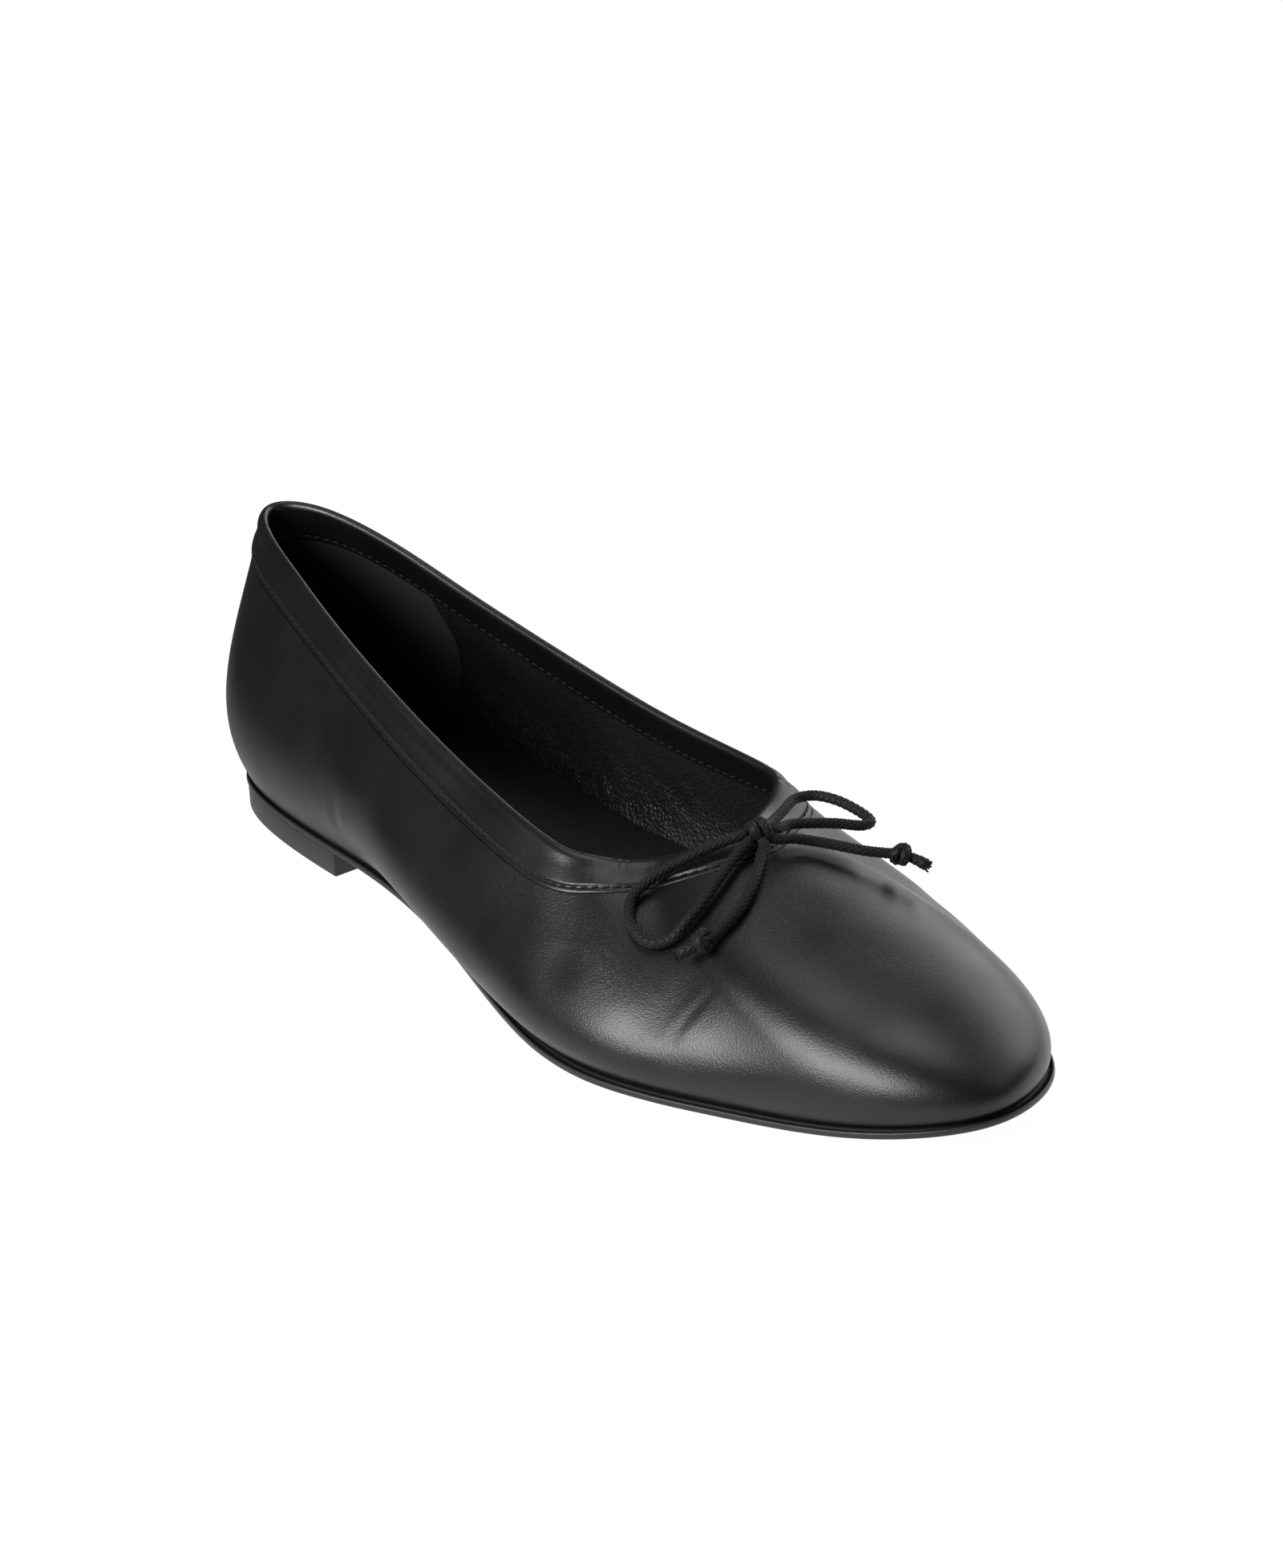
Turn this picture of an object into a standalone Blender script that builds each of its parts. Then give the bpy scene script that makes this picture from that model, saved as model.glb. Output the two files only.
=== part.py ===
# A plain ballet flat for the left foot, in metres, +Z up, standing on its sole.
# The toe points to -Y, the inner (medial) side of the foot to -X, and the origin is
# on the underside of the heel block.
#
# Everything follows one surface. The feather line, where the upper meets the sole,
# and the topline, the rim of the opening, are two closed loops read from short tables.
# Between them each meridian of the upper is one cubic curve. The wall, the casing
# round the rim, the insole, the sole and the heel block are all taken from it.

import math
from collections import namedtuple

import bmesh
import bpy
import numpy as np
from mathutils import Matrix, Vector

MM = 0.001

# Driving sizes
LAST_LENGTH = 246 * MM       # feather line, heel to toe
BALL_WIDTH = 80.5 * MM       # feather line, across the ball of the foot
COLLAR_HEIGHT = 62 * MM      # rim above the floor at the back of the heel
THROAT_HEIGHT = 37 * MM      # rim above the floor beside the throat
HEEL_RISE = 5.7 * MM         # height of the heel block
SOLE_THICK = 2.4 * MM
SOLE_MARGIN = 1.2 * MM       # the sole stands out this far past the feather line in front
HEEL_MARGIN = 0.4 * MM       # and this far round the heel
TOE_SPRING = 7 * MM          # lift of the sole at the tip of the toe
UPPER_WALL = 1.8 * MM        # leather and lining together
INSOLE_THICK = 2 * MM
CASING_WIDTH = 9.5 * MM      # of the folded strip on the outside, along the surface
CASING_WALL = 0.9 * MM
CASING_PROUD = 0.5 * MM      # the strip stands out this far from the upper
HEEL_INSET = 0.3 * MM        # heel block inside the edge of the sole
CLEARANCE = 0.3 * MM         # between pieces that touch

# Places along the foot, as shares of the last's length
ORIGIN_AT = 0.10
BREAST_AT = 0.219            # front face of the heel block
TREAD_FROM = 0.62            # the sole lies flat from here
SPRING_FROM = 0.74           # to here, and lifts towards the toe

# Worked out from the sizes above
RIM_RADIUS = (CASING_PROUD + UPPER_WALL + CLEARANCE + CASING_WALL) / 2
PARED = CASING_WALL - CASING_PROUD + CLEARANCE    # the upper steps in this far under the casing

# How finely the surfaces are cut
AROUND = 84
OUTER_RINGS = 11
PARED_RINGS = 3
INNER_RINGS = 9
LEG_STEPS = 3
RIM_STEPS = 7
FOLD_STEPS = 5
RULER_STEPS = 40             # of a meridian, to measure along it
CORD_SIDES = 8
TURN_STEPS = 14
ROUTE_STEPS = 16             # of a route between two of its points

# The drawstring's bow. Its points were chosen by hand on the front of the opening, in
# millimetres along the shoe's axes from the origin, and each stretch runs from the knot
# outwards.
CORD_DIAMETER = 2.3 * MM
CORD_SPACING = 2             # diameters between the points of a cord
KNOT_PLACE = (1.4, -142.4, 40.6)
TIP_TAIL = 7 * MM            # cord left over past a tip's own knot
ROUTES = {
    "bow_loop_medial": [
        (-2.2, -140.9, 40.3),
        (-5.2, -139.2, 39.3),
        (-11.2, -136.6, 37.3),
        (-17.5, -134.2, 34.8),
        (-23.3, -133.4, 31.8),
        (-26.9, -136.0, 29.6),
        (-28.6, -140.0, 27.8),
        (-28.6, -144.6, 26.9),
        (-26.0, -147.9, 27.7),
        (-22.3, -149.3, 31.2),
        (-17.7, -148.6, 33.5),
        (-11.4, -146.6, 36.5),
        (-5.9, -144.4, 38.2),
        (-2.4, -143.6, 39.5),
    ],
    "bow_end_medial": [
        (0.6, -145.6, 39.1),
        (-1.3, -147.1, 38.2),
        (-4.2, -149.6, 37.0),
        (-9.0, -153.2, 35.4),
        (-15.0, -156.2, 33.3),
        (-22.0, -157.3, 30.6),
    ],
    "bow_loop_lateral": [
        (4.9, -140.7, 40.2),
        (9.6, -136.6, 38.2),
        (15.5, -132.6, 37.2),
        (21.5, -129.0, 36.8),
        (25.8, -130.0, 36.6),
        (28.0, -134.6, 36.4),
        (28.9, -140.6, 35.7),
        (28.3, -145.2, 35.2),
        (25.2, -145.9, 35.5),
        (20.8, -143.3, 36.5),
        (15.6, -141.4, 37.6),
        (10.6, -140.8, 38.7),
        (5.6, -142.9, 39.8),
    ],
    "bow_end_lateral": [
        (4.4, -145.1, 39.0),
        (8.2, -145.5, 38.0),
        (12.4, -146.8, 36.5),
        (16.6, -150.3, 35.2),
        (20.0, -153.6, 34.2),
        (24.1, -156.6, 33.3),
    ],
}
TIPS = {    # the knot in each end, in millimetres too, and the way its tail points
    "bow_tip_medial": ((-24.4, -157.4, 30.5), (-0.75, 0.50, -0.43)),
    "bow_tip_lateral": ((25.8, -157.6, 33.0), (0.42, -0.86, -0.29)),
}
KNOT_WAY = (1, 0, -0.12)     # the core of the bow's knot lies along this
KNOT_CORE = 3.0 * MM         # thickness of the core
KNOT_REACH = 3.1 * MM        # half of its length
KNOT_TURN = 1.6 * MM         # radius of the turns round it
TURN_APART = 0.52            # each turn's distance from the middle, in diameters
TURN_SPLAY = 0.25            # how far the turns lean apart
TURN_LIFT = 0.1              # and how far both lean up
TIP_TURN = 0.6               # radius of the turn in a tip, in diameters
TIP_HOLD = 0.5               # tail behind the tip's knot, in diameters
TAIL_THIN = 0.9              # tail's thickness, in diameters
SOLE_CHAMFER = 0.4 * MM
HEEL_CHAMFER = 0.4 * MM

# Closed loops: the feather line in shares of last length and ball width
Feather = namedtuple("Feather", "place along medial lateral")
FEATHER = [
    Feather("heel back", 0.008, 0.000, 0.000),
    Feather("heel corner", 0.023, 0.192, 0.192),
    Feather("heel side", 0.118, 0.308, 0.308),
    Feather("heel front", 0.240, 0.335, 0.352),
    Feather("arch", 0.325, 0.350, 0.335),
    Feather("waist", 0.417, 0.395, 0.365),
    Feather("joint", 0.536, 0.486, 0.450),
    Feather("ball", 0.670, 0.535, 0.500),
    Feather("toes", 0.790, 0.425, 0.463),
    Feather("toe side", 0.902, 0.308, 0.346),
    Feather("toe corner", 0.972, 0.182, 0.180),
    Feather("toe tip", 1.000, 0.030, -0.030),
]

# The topline in the same shares, and its climb as a share of the way up from the
# height beside the throat to the height of the collar
Topline = namedtuple("Topline", "place along medial lateral medial_climb lateral_climb")
TOPLINE = [
    Topline("heel back", -0.006, 0.000, 0.000, 1.03, 1.03),
    Topline("heel corner", 0.022, 0.088, 0.088, 1.01, 1.01),
    Topline("heel side", 0.106, 0.170, 0.168, 0.89, 0.82),
    Topline("heel front", 0.198, 0.230, 0.220, 0.69, 0.56),
    Topline("arch", 0.320, 0.285, 0.271, 0.42, 0.29),
    Topline("waist", 0.441, 0.320, 0.316, 0.18, 0.08),
    Topline("joint", 0.551, 0.332, 0.343, 0.01, 0.00),
    Topline("ball", 0.582, 0.287, 0.308, -0.05, -0.03),
    Topline("toes", 0.599, 0.228, 0.240, -0.10, -0.07),
    Topline("toe side", 0.617, 0.152, 0.150, -0.10, -0.06),
    Topline("toe corner", 0.639, 0.079, 0.077, -0.01, 0.00),
    Topline("toe tip", 0.652, 0.000, 0.000, 0.05, 0.05),
]

# The two handles of each meridian. From the feather line it rises and leans out, and
# it drops and spreads from the rim. Rise and drop are shares of the wall's height
# there, lean and spread of the ball width. The medial four come before the lateral.
Meridian = namedtuple(
    "Meridian", "place rise lean drop spread lateral_rise lateral_lean lateral_drop lateral_spread"
)
MERIDIANS = [
    Meridian("heel back", 0.31, 0.076, 0.46, 0.056, 0.31, 0.076, 0.46, 0.056),
    Meridian("heel corner", 0.31, 0.095, 0.44, 0.105, 0.31, 0.095, 0.43, 0.090),
    Meridian("heel side", 0.34, 0.111, 0.41, 0.102, 0.35, 0.096, 0.40, 0.080),
    Meridian("heel front", 0.33, 0.122, 0.39, 0.072, 0.40, 0.080, 0.41, 0.060),
    Meridian("arch", 0.30, 0.180, 0.38, 0.066, 0.40, 0.072, 0.40, 0.050),
    Meridian("waist", 0.25, 0.202, 0.40, 0.086, 0.36, 0.070, 0.42, 0.060),
    Meridian("joint", 0.25, 0.160, 0.37, 0.120, 0.32, 0.067, 0.39, 0.095),
    Meridian("ball", 0.29, 0.107, 0.32, 0.185, 0.30, 0.080, 0.36, 0.183),
    Meridian("toes", 0.34, 0.063, 0.28, 0.275, 0.30, 0.091, 0.33, 0.305),
    Meridian("toe side", 0.41, 0.050, 0.30, 0.375, 0.34, 0.073, 0.32, 0.397),
    Meridian("toe corner", 0.46, 0.037, 0.35, 0.475, 0.43, 0.055, 0.35, 0.482),
    Meridian("toe tip", 0.47, 0.033, 0.35, 0.495, 0.47, 0.033, 0.35, 0.495),
]


def smooth_step(share):
    share = np.clip(share, 0, 1)
    return share * share * (3 - 2 * share)


def sole_underside(length):
    """Height of the sole's underside above the floor, at a length from the heel."""
    share = length / LAST_LENGTH
    arch = smooth_step((TREAD_FROM - share) / (TREAD_FROM - BREAST_AT))
    spring = np.clip((share - SPRING_FROM) / (1 - SPRING_FROM), 0, None)
    return HEEL_RISE * arch + TOE_SPRING * spring**2


def closed_spline(knots, values, at):
    """A closed cubic curve, smooth in slope and bend, through values at the knots."""
    count = len(values)
    step = np.diff(knots)
    value = np.vstack([values, values[:1]])
    slope = np.diff(value, axis=0) / step[:, None]
    system = np.zeros((count, count))
    for i in range(count):
        system[i, (i - 1) % count] += step[i - 1]
        system[i, i] += 2 * (step[i - 1] + step[i])
        system[i, (i + 1) % count] += step[i]
    bend = np.linalg.solve(system, 6 * (slope - np.roll(slope, 1, axis=0)))
    bend = np.vstack([bend, bend[:1]])
    i = np.clip(np.searchsorted(knots, at, side="right") - 1, 0, count - 1)
    t = (at - knots[i])[:, None]
    h = step[i][:, None]
    linear = slope[i] - h * (2 * bend[i] + bend[i + 1]) / 6
    return value[i] + linear * t + bend[i] / 2 * t**2 + (bend[i + 1] - bend[i]) / (6 * h) * t**3


def table_rows(side):
    """One side's rows from heel back to toe tip, in metres: side is -1 medial, 1 lateral."""
    rows = []
    for feather, topline, wall in zip(FEATHER, TOPLINE, MERIDIANS):
        lateral = side > 0
        across = feather.lateral if lateral else feather.medial
        rim = topline.lateral if lateral else topline.medial
        climb = topline.lateral_climb if lateral else topline.medial_climb
        handles = wall[5:9] if lateral else wall[1:5]
        rim_height = THROAT_HEIGHT + climb * (COLLAR_HEIGHT - THROAT_HEIGHT)
        rows.append([
            side * across * BALL_WIDTH,
            feather.along * LAST_LENGTH,
            side * rim * BALL_WIDTH,
            topline.along * LAST_LENGTH,
            rim_height,
            *handles,
        ])
    return rows


def sole_edge(shell):
    """The sole's outline: close under the upper round the heel, further out in front."""
    ahead = smooth_step((shell.plan[:, 1] / LAST_LENGTH - BREAST_AT) / (TREAD_FROM - BREAST_AT))
    margin = HEEL_MARGIN + (SOLE_MARGIN - HEEL_MARGIN) * ahead
    return moved_across(shell.plan, margin[:, None])


def outward(loop):
    """Unit vectors across a closed plan loop, pointing away from its inside."""
    along = np.roll(loop, -1, axis=0) - np.roll(loop, 1, axis=0)
    across = np.stack([-along[:, 1], along[:, 0]], axis=1)
    return across / np.linalg.norm(across, axis=1)[:, None]


class Shell:
    """The upper's outer surface. Meridians are numbered from the heel's back, medial
    side first, and share 0 is on the feather line and 1 on the rim."""

    def __init__(self, count):
        medial, lateral = table_rows(-1), table_rows(1)
        ring = np.array(medial + lateral[-2:0:-1])
        hop = np.diff(np.vstack([ring, ring[:1]]), axis=0)
        spacing = np.linalg.norm(hop[:, 0:2], axis=1) + np.linalg.norm(hop[:, 2:4], axis=1)
        knots = np.concatenate([[0], np.cumsum(np.sqrt(spacing))])
        read = closed_spline(knots, ring, np.linspace(0, knots[-1], count + 1)[:-1])
        self.count = count
        self.plan = read[:, 0:2]
        rim_plan = read[:, 2:4]
        rise, lean, drop, spread = read[:, 5:9].T
        base = sole_underside(self.plan[:, 1]) + SOLE_THICK + CLEARANCE
        height = read[:, 4] - base
        lower = self.plan + outward(self.plan) * (lean * BALL_WIDTH)[:, None]
        upper = rim_plan + outward(rim_plan) * (spread * BALL_WIDTH)[:, None]
        self.control = [
            np.column_stack([self.plan, base]),
            np.column_stack([lower, base + rise * height]),
            np.column_stack([upper, read[:, 4] - drop * height]),
            np.column_stack([rim_plan, read[:, 4]]),
        ]

    def points(self, share):
        t = np.broadcast_to(share, self.count)[:, None]
        a, b, c, d = self.control
        return a * (1 - t)**3 + 3 * b * t * (1 - t)**2 + 3 * c * t**2 * (1 - t) + d * t**3

    def normals(self, share):
        t = np.broadcast_to(share, self.count)[:, None]
        a, b, c, d = self.control
        up = (b - a) * (1 - t)**2 + 2 * (c - b) * t * (1 - t) + (d - c) * t**2
        here = self.points(share)
        along = np.roll(here, -1, axis=0) - np.roll(here, 1, axis=0)
        normal = np.cross(up, along)
        return normal / np.linalg.norm(normal, axis=1)[:, None]

    def skin(self, share, out):
        """A loop at a share of every meridian, moved out from the surface."""
        return self.points(share) + self.normals(share) * out

    def below_rim(self, distance):
        """The share of each meridian that lies a distance under the rim, along it."""
        shares = np.linspace(1, 0, RULER_STEPS + 1)
        path = np.array([self.points(share) for share in shares])
        run = np.cumsum(np.linalg.norm(np.diff(path, axis=0), axis=2), axis=0)
        run = np.vstack([np.zeros(self.count), run])
        return np.array([np.interp(distance, run[:, i], shares) for i in range(self.count)])


def moved_across(loop, distance):
    """A plan loop set outwards by a distance."""
    return loop + outward(loop) * distance


def at_height(plan, height):
    return np.column_stack([plan, np.broadcast_to(height, len(plan))])


def closed_loop(mesh, points):
    """Adds a closed ring of edges and returns it."""
    corners = [mesh.verts.new(point) for point in points]
    return [mesh.edges.new((a, b)) for a, b in zip(corners, corners[1:] + corners[:1])]


def bridged(mesh, loops, ring):
    """Faces between each loop and the next, and from the last to the first in a ring."""
    edges = [closed_loop(mesh, to_world(points)) for points in loops]
    pairs = list(zip(edges, edges[1:]))
    if ring:
        pairs.append((edges[-1], edges[0]))
    for one, other in pairs:
        bmesh.ops.bridge_loops(mesh, edges=one + other)
    return edges


def close_across(mesh, edges):
    """Closes a loop with strips that run from one side of the foot to the other."""
    corners = [edge.verts[0] for edge in edges]
    half = len(corners) // 2
    for i in range(1, half - 1):
        mesh.faces.new((corners[i], corners[i + 1], corners[-i - 1], corners[-i]))
    mesh.faces.new((corners[0], corners[1], corners[-1]))
    mesh.faces.new((corners[half], corners[half + 1], corners[half - 1]))


def to_world(points):
    """From lengths measured from the heel's back to the shoe's own axes."""
    world = np.array(points, dtype=float)
    world[:, 1] = ORIGIN_AT * LAST_LENGTH - world[:, 1]
    return [Vector(point) for point in world]


def make_material(name, colour, roughness, metallic=0.0):
    material = bpy.data.materials.new(name)
    material.use_nodes = True
    shader = material.node_tree.nodes["Principled BSDF"]
    shader.inputs["Base Color"].default_value = (*colour, 1.0)
    shader.inputs["Roughness"].default_value = roughness
    shader.inputs["Metallic"].default_value = metallic
    material.diffuse_color = (*colour, 1.0)
    return material


def add_object(name, mesh, material, sharp_angle=40):
    bmesh.ops.recalc_face_normals(mesh, faces=mesh.faces)
    data = bpy.data.meshes.new(name)
    mesh.to_mesh(data)
    mesh.free()
    data.shade_smooth()
    data.set_sharp_from_angle(angle=math.radians(sharp_angle))
    data.materials.append(material)
    piece = bpy.data.objects.new(name, data)
    bpy.context.scene.collection.objects.link(piece)
    return piece


def spread_shares(start, end, count):
    """Shares from one loop of shares to another, both ends in."""
    return [start + (end - start) * i / (count - 1) for i in range(count)]


def inner_face(shell):
    """Loops down the inside of the wall, from under the rim to the foot."""
    top = shell.below_rim(RIM_RADIUS)
    return [shell.skin(top * share, -UPPER_WALL) for share in spread_shares(1, 0, INNER_RINGS)]


def build_upper(shell, material):
    """A wall open at the rim and underneath, pared down where the casing folds over it."""
    casing_edge = shell.below_rim(CASING_WIDTH)
    top = shell.below_rim(RIM_RADIUS)
    outside = [shell.points(casing_edge * share) for share in spread_shares(0, 1, OUTER_RINGS)]
    pared = [shell.skin(share, -PARED) for share in spread_shares(casing_edge, top, PARED_RINGS)]
    inside = inner_face(shell)
    foot = at_height(inside[-1][:, 0:2], shell.control[0][:, 2])
    mesh = bmesh.new()
    bridged(mesh, outside + pared + inside + [foot], ring=True)
    return add_object("upper", mesh, material)


def half_round(radius, count):
    """From the outside over the rim: how far under the rim, and how far out, of its middle."""
    turns = [math.pi * i / (count - 1) for i in range(count)]
    return [(RIM_RADIUS - radius * math.sin(turn), radius * math.cos(turn)) for turn in turns]


def build_casing(shell, material):
    """A strip of leather folded over the rim, with the upper's edge inside the fold."""
    middle = CASING_PROUD - RIM_RADIUS
    inner_radius = RIM_RADIUS - CASING_WALL
    outer_end = CASING_WIDTH - CLEARANCE
    legs = [outer_end + (RIM_RADIUS - outer_end) * i / LEG_STEPS for i in range(LEG_STEPS)]
    over = [(down, RIM_RADIUS) for down in legs] + half_round(RIM_RADIUS, RIM_STEPS)
    over += [(down, -RIM_RADIUS) for down in reversed(legs)]
    under = [(down, inner_radius) for down in legs] + half_round(inner_radius, FOLD_STEPS)
    under += [(down, -inner_radius) for down in reversed(legs)]
    section = over + list(reversed(under))
    loops = [shell.skin(shell.below_rim(down), middle + out) for down, out in section]
    mesh = bmesh.new()
    bridged(mesh, loops, ring=True)
    return add_object("topline_casing", mesh, material)


def inside_at(shell, up):
    """The plan of the wall's inner face at a height above its foot."""
    wall = np.array(inner_face(shell)[::-1])
    height = wall[:, :, 2] - shell.control[0][:, 2]
    return np.array([
        [np.interp(up, height[:, i], wall[:, i, axis]) for axis in (0, 1)] for i in range(shell.count)
    ])


def build_insole(shell, material):
    """A sheet that fills the foot of the upper, clear of the wall all the way up its edge."""
    foot = inside_at(shell, 0)
    room = ((inside_at(shell, INSOLE_THICK) - foot) * outward(foot)).sum(axis=1)
    plan = moved_across(foot, np.minimum(room, 0)[:, None] - CLEARANCE)
    base = sole_underside(plan[:, 1]) + SOLE_THICK + CLEARANCE
    mesh = bmesh.new()
    edges = bridged(mesh, [at_height(plan, base), at_height(plan, base + INSOLE_THICK)], ring=False)
    close_across(mesh, edges[0])
    close_across(mesh, edges[-1])
    return add_object("insole", mesh, material)


def build_outsole(shell, material):
    edge = [(-SOLE_CHAMFER, 0), (0, SOLE_CHAMFER), (0, SOLE_THICK - SOLE_CHAMFER), (-SOLE_CHAMFER, SOLE_THICK)]
    loops = []
    for out, up in edge:
        plan = moved_across(sole_edge(shell), out)
        loops.append(at_height(plan, sole_underside(plan[:, 1]) + up))
    mesh = bmesh.new()
    edges = bridged(mesh, loops, ring=False)
    close_across(mesh, edges[0])
    close_across(mesh, edges[-1])
    return add_object("outsole", mesh, material)


def heel_outline(shell, inset):
    """The sole's outline behind the breast, from the lateral side round to the medial."""
    plan = moved_across(sole_edge(shell), -inset)
    breast = BREAST_AT * LAST_LENGTH
    half = len(plan) // 2
    sides = [plan[:half + 1], np.roll(plan, -1, axis=0)[::-1][:half + 1]]
    medial_corner, lateral_corner = [[np.interp(breast, side[:, 1], side[:, 0]), breast] for side in sides]
    medial, lateral = [side[side[:, 1] < breast] for side in sides]
    return np.vstack([lateral_corner, lateral[::-1], medial[1:], medial_corner])


def build_heel_block(shell, material):
    top = HEEL_RISE - CLEARANCE
    levels = [(HEEL_INSET, top), (HEEL_INSET, HEEL_CHAMFER), (HEEL_INSET + HEEL_CHAMFER, 0)]
    mesh = bmesh.new()
    edges = bridged(mesh, [at_height(heel_outline(shell, inset), up) for inset, up in levels], ring=False)
    for loop in (edges[0], edges[-1]):
        mesh.faces.new([edge.verts[0] for edge in loop])
    return add_object("heel_block", mesh, material)


def smooth_route(points):
    """Evenly spaced points on a smooth curve through a route's own points."""
    route = np.array(points) * MM
    ends = np.vstack([2 * route[0] - route[1], route, 2 * route[-1] - route[-2]])
    fine = []
    for a, b, c, d in zip(ends, ends[1:], ends[2:], ends[3:]):
        for t in np.linspace(0, 1, ROUTE_STEPS, endpoint=False):
            fine.append(b + (c - a) / 2 * t + (a - 2.5 * b + 2 * c - d / 2) * t**2
                        + (1.5 * (b - c) + (d - a) / 2) * t**3)
    fine = np.array(fine + [route[-1]])
    run = np.concatenate([[0], np.cumsum(np.linalg.norm(np.diff(fine, axis=0), axis=1))])
    count = round(run[-1] / (CORD_SPACING * CORD_DIAMETER)) + 1
    at = np.linspace(0, run[-1], count)
    return np.column_stack([np.interp(at, run, fine[:, axis]) for axis in range(3)])


def build_cord(name, points, material):
    curve = bpy.data.curves.new(name, "CURVE")
    curve.dimensions = "3D"
    curve.bevel_depth = CORD_DIAMETER / 2
    curve.bevel_resolution = 2
    curve.use_fill_caps = True
    path = smooth_route(points)
    spline = curve.splines.new("POLY")
    spline.points.add(len(path) - 1)
    for point, place in zip(spline.points, path):
        point.co = (*place, 1)
    curve.materials.append(material)
    cord = bpy.data.objects.new(name, curve)
    bpy.context.scene.collection.objects.link(cord)
    return cord


def turn_of_cord(name, centre, axis, radius, thickness, material):
    """One closed turn of cord round an axis."""
    mesh = bmesh.new()
    bmesh.ops.create_circle(mesh, cap_ends=False, segments=CORD_SIDES, radius=thickness / 2)
    bmesh.ops.rotate(mesh, verts=mesh.verts, matrix=rotation(math.pi / 2, "X"))
    bmesh.ops.translate(mesh, verts=mesh.verts, vec=(radius, 0, 0))
    bmesh.ops.spin(mesh, geom=mesh.edges[:], axis=(0, 0, 1), angle=math.tau, steps=TURN_STEPS,
                   use_merge=True)
    turn_and_place(mesh, centre, axis)
    return add_object(name, mesh, material)


def rod_of_cord(name, start, end, thickness, material):
    """A straight stub of cord with flat ends."""
    start, end = Vector(start), Vector(end)
    mesh = bmesh.new()
    bmesh.ops.create_cone(mesh, cap_ends=True, segments=CORD_SIDES, radius1=thickness / 2,
                          radius2=thickness / 2, depth=(end - start).length)
    turn_and_place(mesh, (start + end) / 2, end - start)
    return add_object(name, mesh, material)


def rotation(angle, axis):
    return Matrix.Rotation(angle, 3, axis)


def turn_and_place(mesh, centre, axis):
    turned = Vector(axis).to_track_quat("Z", "Y").to_matrix()
    bmesh.ops.rotate(mesh, verts=mesh.verts, matrix=turned)
    bmesh.ops.translate(mesh, verts=mesh.verts, vec=centre)


def join_to(body, others):
    """Fuses other solids to a body, which stays one closed shape."""
    for other in others:
        other.hide_render = True
        other.display_type = "WIRE"
        joining = body.modifiers.new(other.name, "BOOLEAN")
        joining.operation = "UNION"
        joining.object = other


def build_knot(material):
    """Two turns of cord round a short core."""
    centre = Vector(KNOT_PLACE) * MM
    across = Vector(KNOT_WAY).normalized()
    reach = across * KNOT_REACH
    core = rod_of_cord("bow_knot", centre - reach, centre + reach, KNOT_CORE, material)
    others = []
    for name, side in (("knot_turn_medial", -1), ("knot_turn_lateral", 1)):
        place = centre + across * side * CORD_DIAMETER * TURN_APART
        tilt = across + Vector((0, side * TURN_SPLAY, TURN_LIFT))
        others.append(turn_of_cord(name, place, tilt, KNOT_TURN, CORD_DIAMETER, material))
    join_to(core, others)
    return core


def build_tip(name, place, way, material):
    """A turn of cord round the end of the string, and the tail that sticks out of it."""
    centre, way = Vector(place) * MM, Vector(way).normalized()
    tail = rod_of_cord(name, centre - way * CORD_DIAMETER * TIP_HOLD, centre + way * TIP_TAIL,
                       CORD_DIAMETER * TAIL_THIN, material)
    turn = turn_of_cord(name + "_turn", centre, way, CORD_DIAMETER * TIP_TURN, CORD_DIAMETER, material)
    join_to(tail, [turn])
    return tail


def main():
    for piece in list(bpy.data.objects):
        bpy.data.objects.remove(piece, do_unlink=True)
    shell = Shell(AROUND)
    build_upper(shell, make_material("nappa leather", (0.012, 0.012, 0.013), 0.42))
    build_casing(shell, make_material("casing leather", (0.014, 0.014, 0.015), 0.40))
    build_insole(shell, make_material("sock leather", (0.010, 0.010, 0.010), 0.60))
    build_outsole(shell, make_material("outsole", (0.045, 0.045, 0.047), 0.50))
    build_heel_block(shell, make_material("heel block", (0.040, 0.040, 0.042), 0.50))
    waxed = make_material("waxed cord", (0.015, 0.015, 0.016), 0.50)
    build_knot(waxed)
    for name, points in ROUTES.items():
        build_cord(name, points, waxed)
    for name, (place, way) in TIPS.items():
        build_tip(name, place, way, waxed)


main()
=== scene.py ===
# A black nappa ballet flat for the left foot, dressed over its CAD model: a bow of braided
# cord, a stitched casing round the opening, lining and sock inside, a thin sole and a low heel.
# Metres, +Z up, toe to -Y, inner side of the foot to -X.

import math

import bmesh
import bpy
import numpy as np
from mathutils import Matrix, Vector


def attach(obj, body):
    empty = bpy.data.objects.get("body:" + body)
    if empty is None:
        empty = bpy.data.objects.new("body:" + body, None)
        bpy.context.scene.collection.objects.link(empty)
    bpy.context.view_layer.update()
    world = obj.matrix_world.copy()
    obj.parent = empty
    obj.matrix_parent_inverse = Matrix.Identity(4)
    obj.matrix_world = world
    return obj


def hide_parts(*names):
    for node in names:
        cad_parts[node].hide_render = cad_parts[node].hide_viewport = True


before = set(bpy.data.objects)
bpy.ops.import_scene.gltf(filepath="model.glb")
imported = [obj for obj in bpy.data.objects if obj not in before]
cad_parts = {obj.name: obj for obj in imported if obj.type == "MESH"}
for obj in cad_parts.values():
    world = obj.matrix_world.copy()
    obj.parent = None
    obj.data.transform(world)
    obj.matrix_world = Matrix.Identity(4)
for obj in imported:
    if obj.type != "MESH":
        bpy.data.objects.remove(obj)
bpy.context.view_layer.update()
mm = 0.001
print("frame loaded:", len(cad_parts), "nodes")


# Small tools that all pieces share.

def hexToLinear(code):
    # an sRGB hex value as a linear colour with full alpha
    channels = [int(code[i:i + 2], 16) / 255 for i in (1, 3, 5)]
    return [*(c / 12.92 if c <= 0.04045 else ((c + 0.055) / 1.055) ** 2.4 for c in channels), 1]


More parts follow.
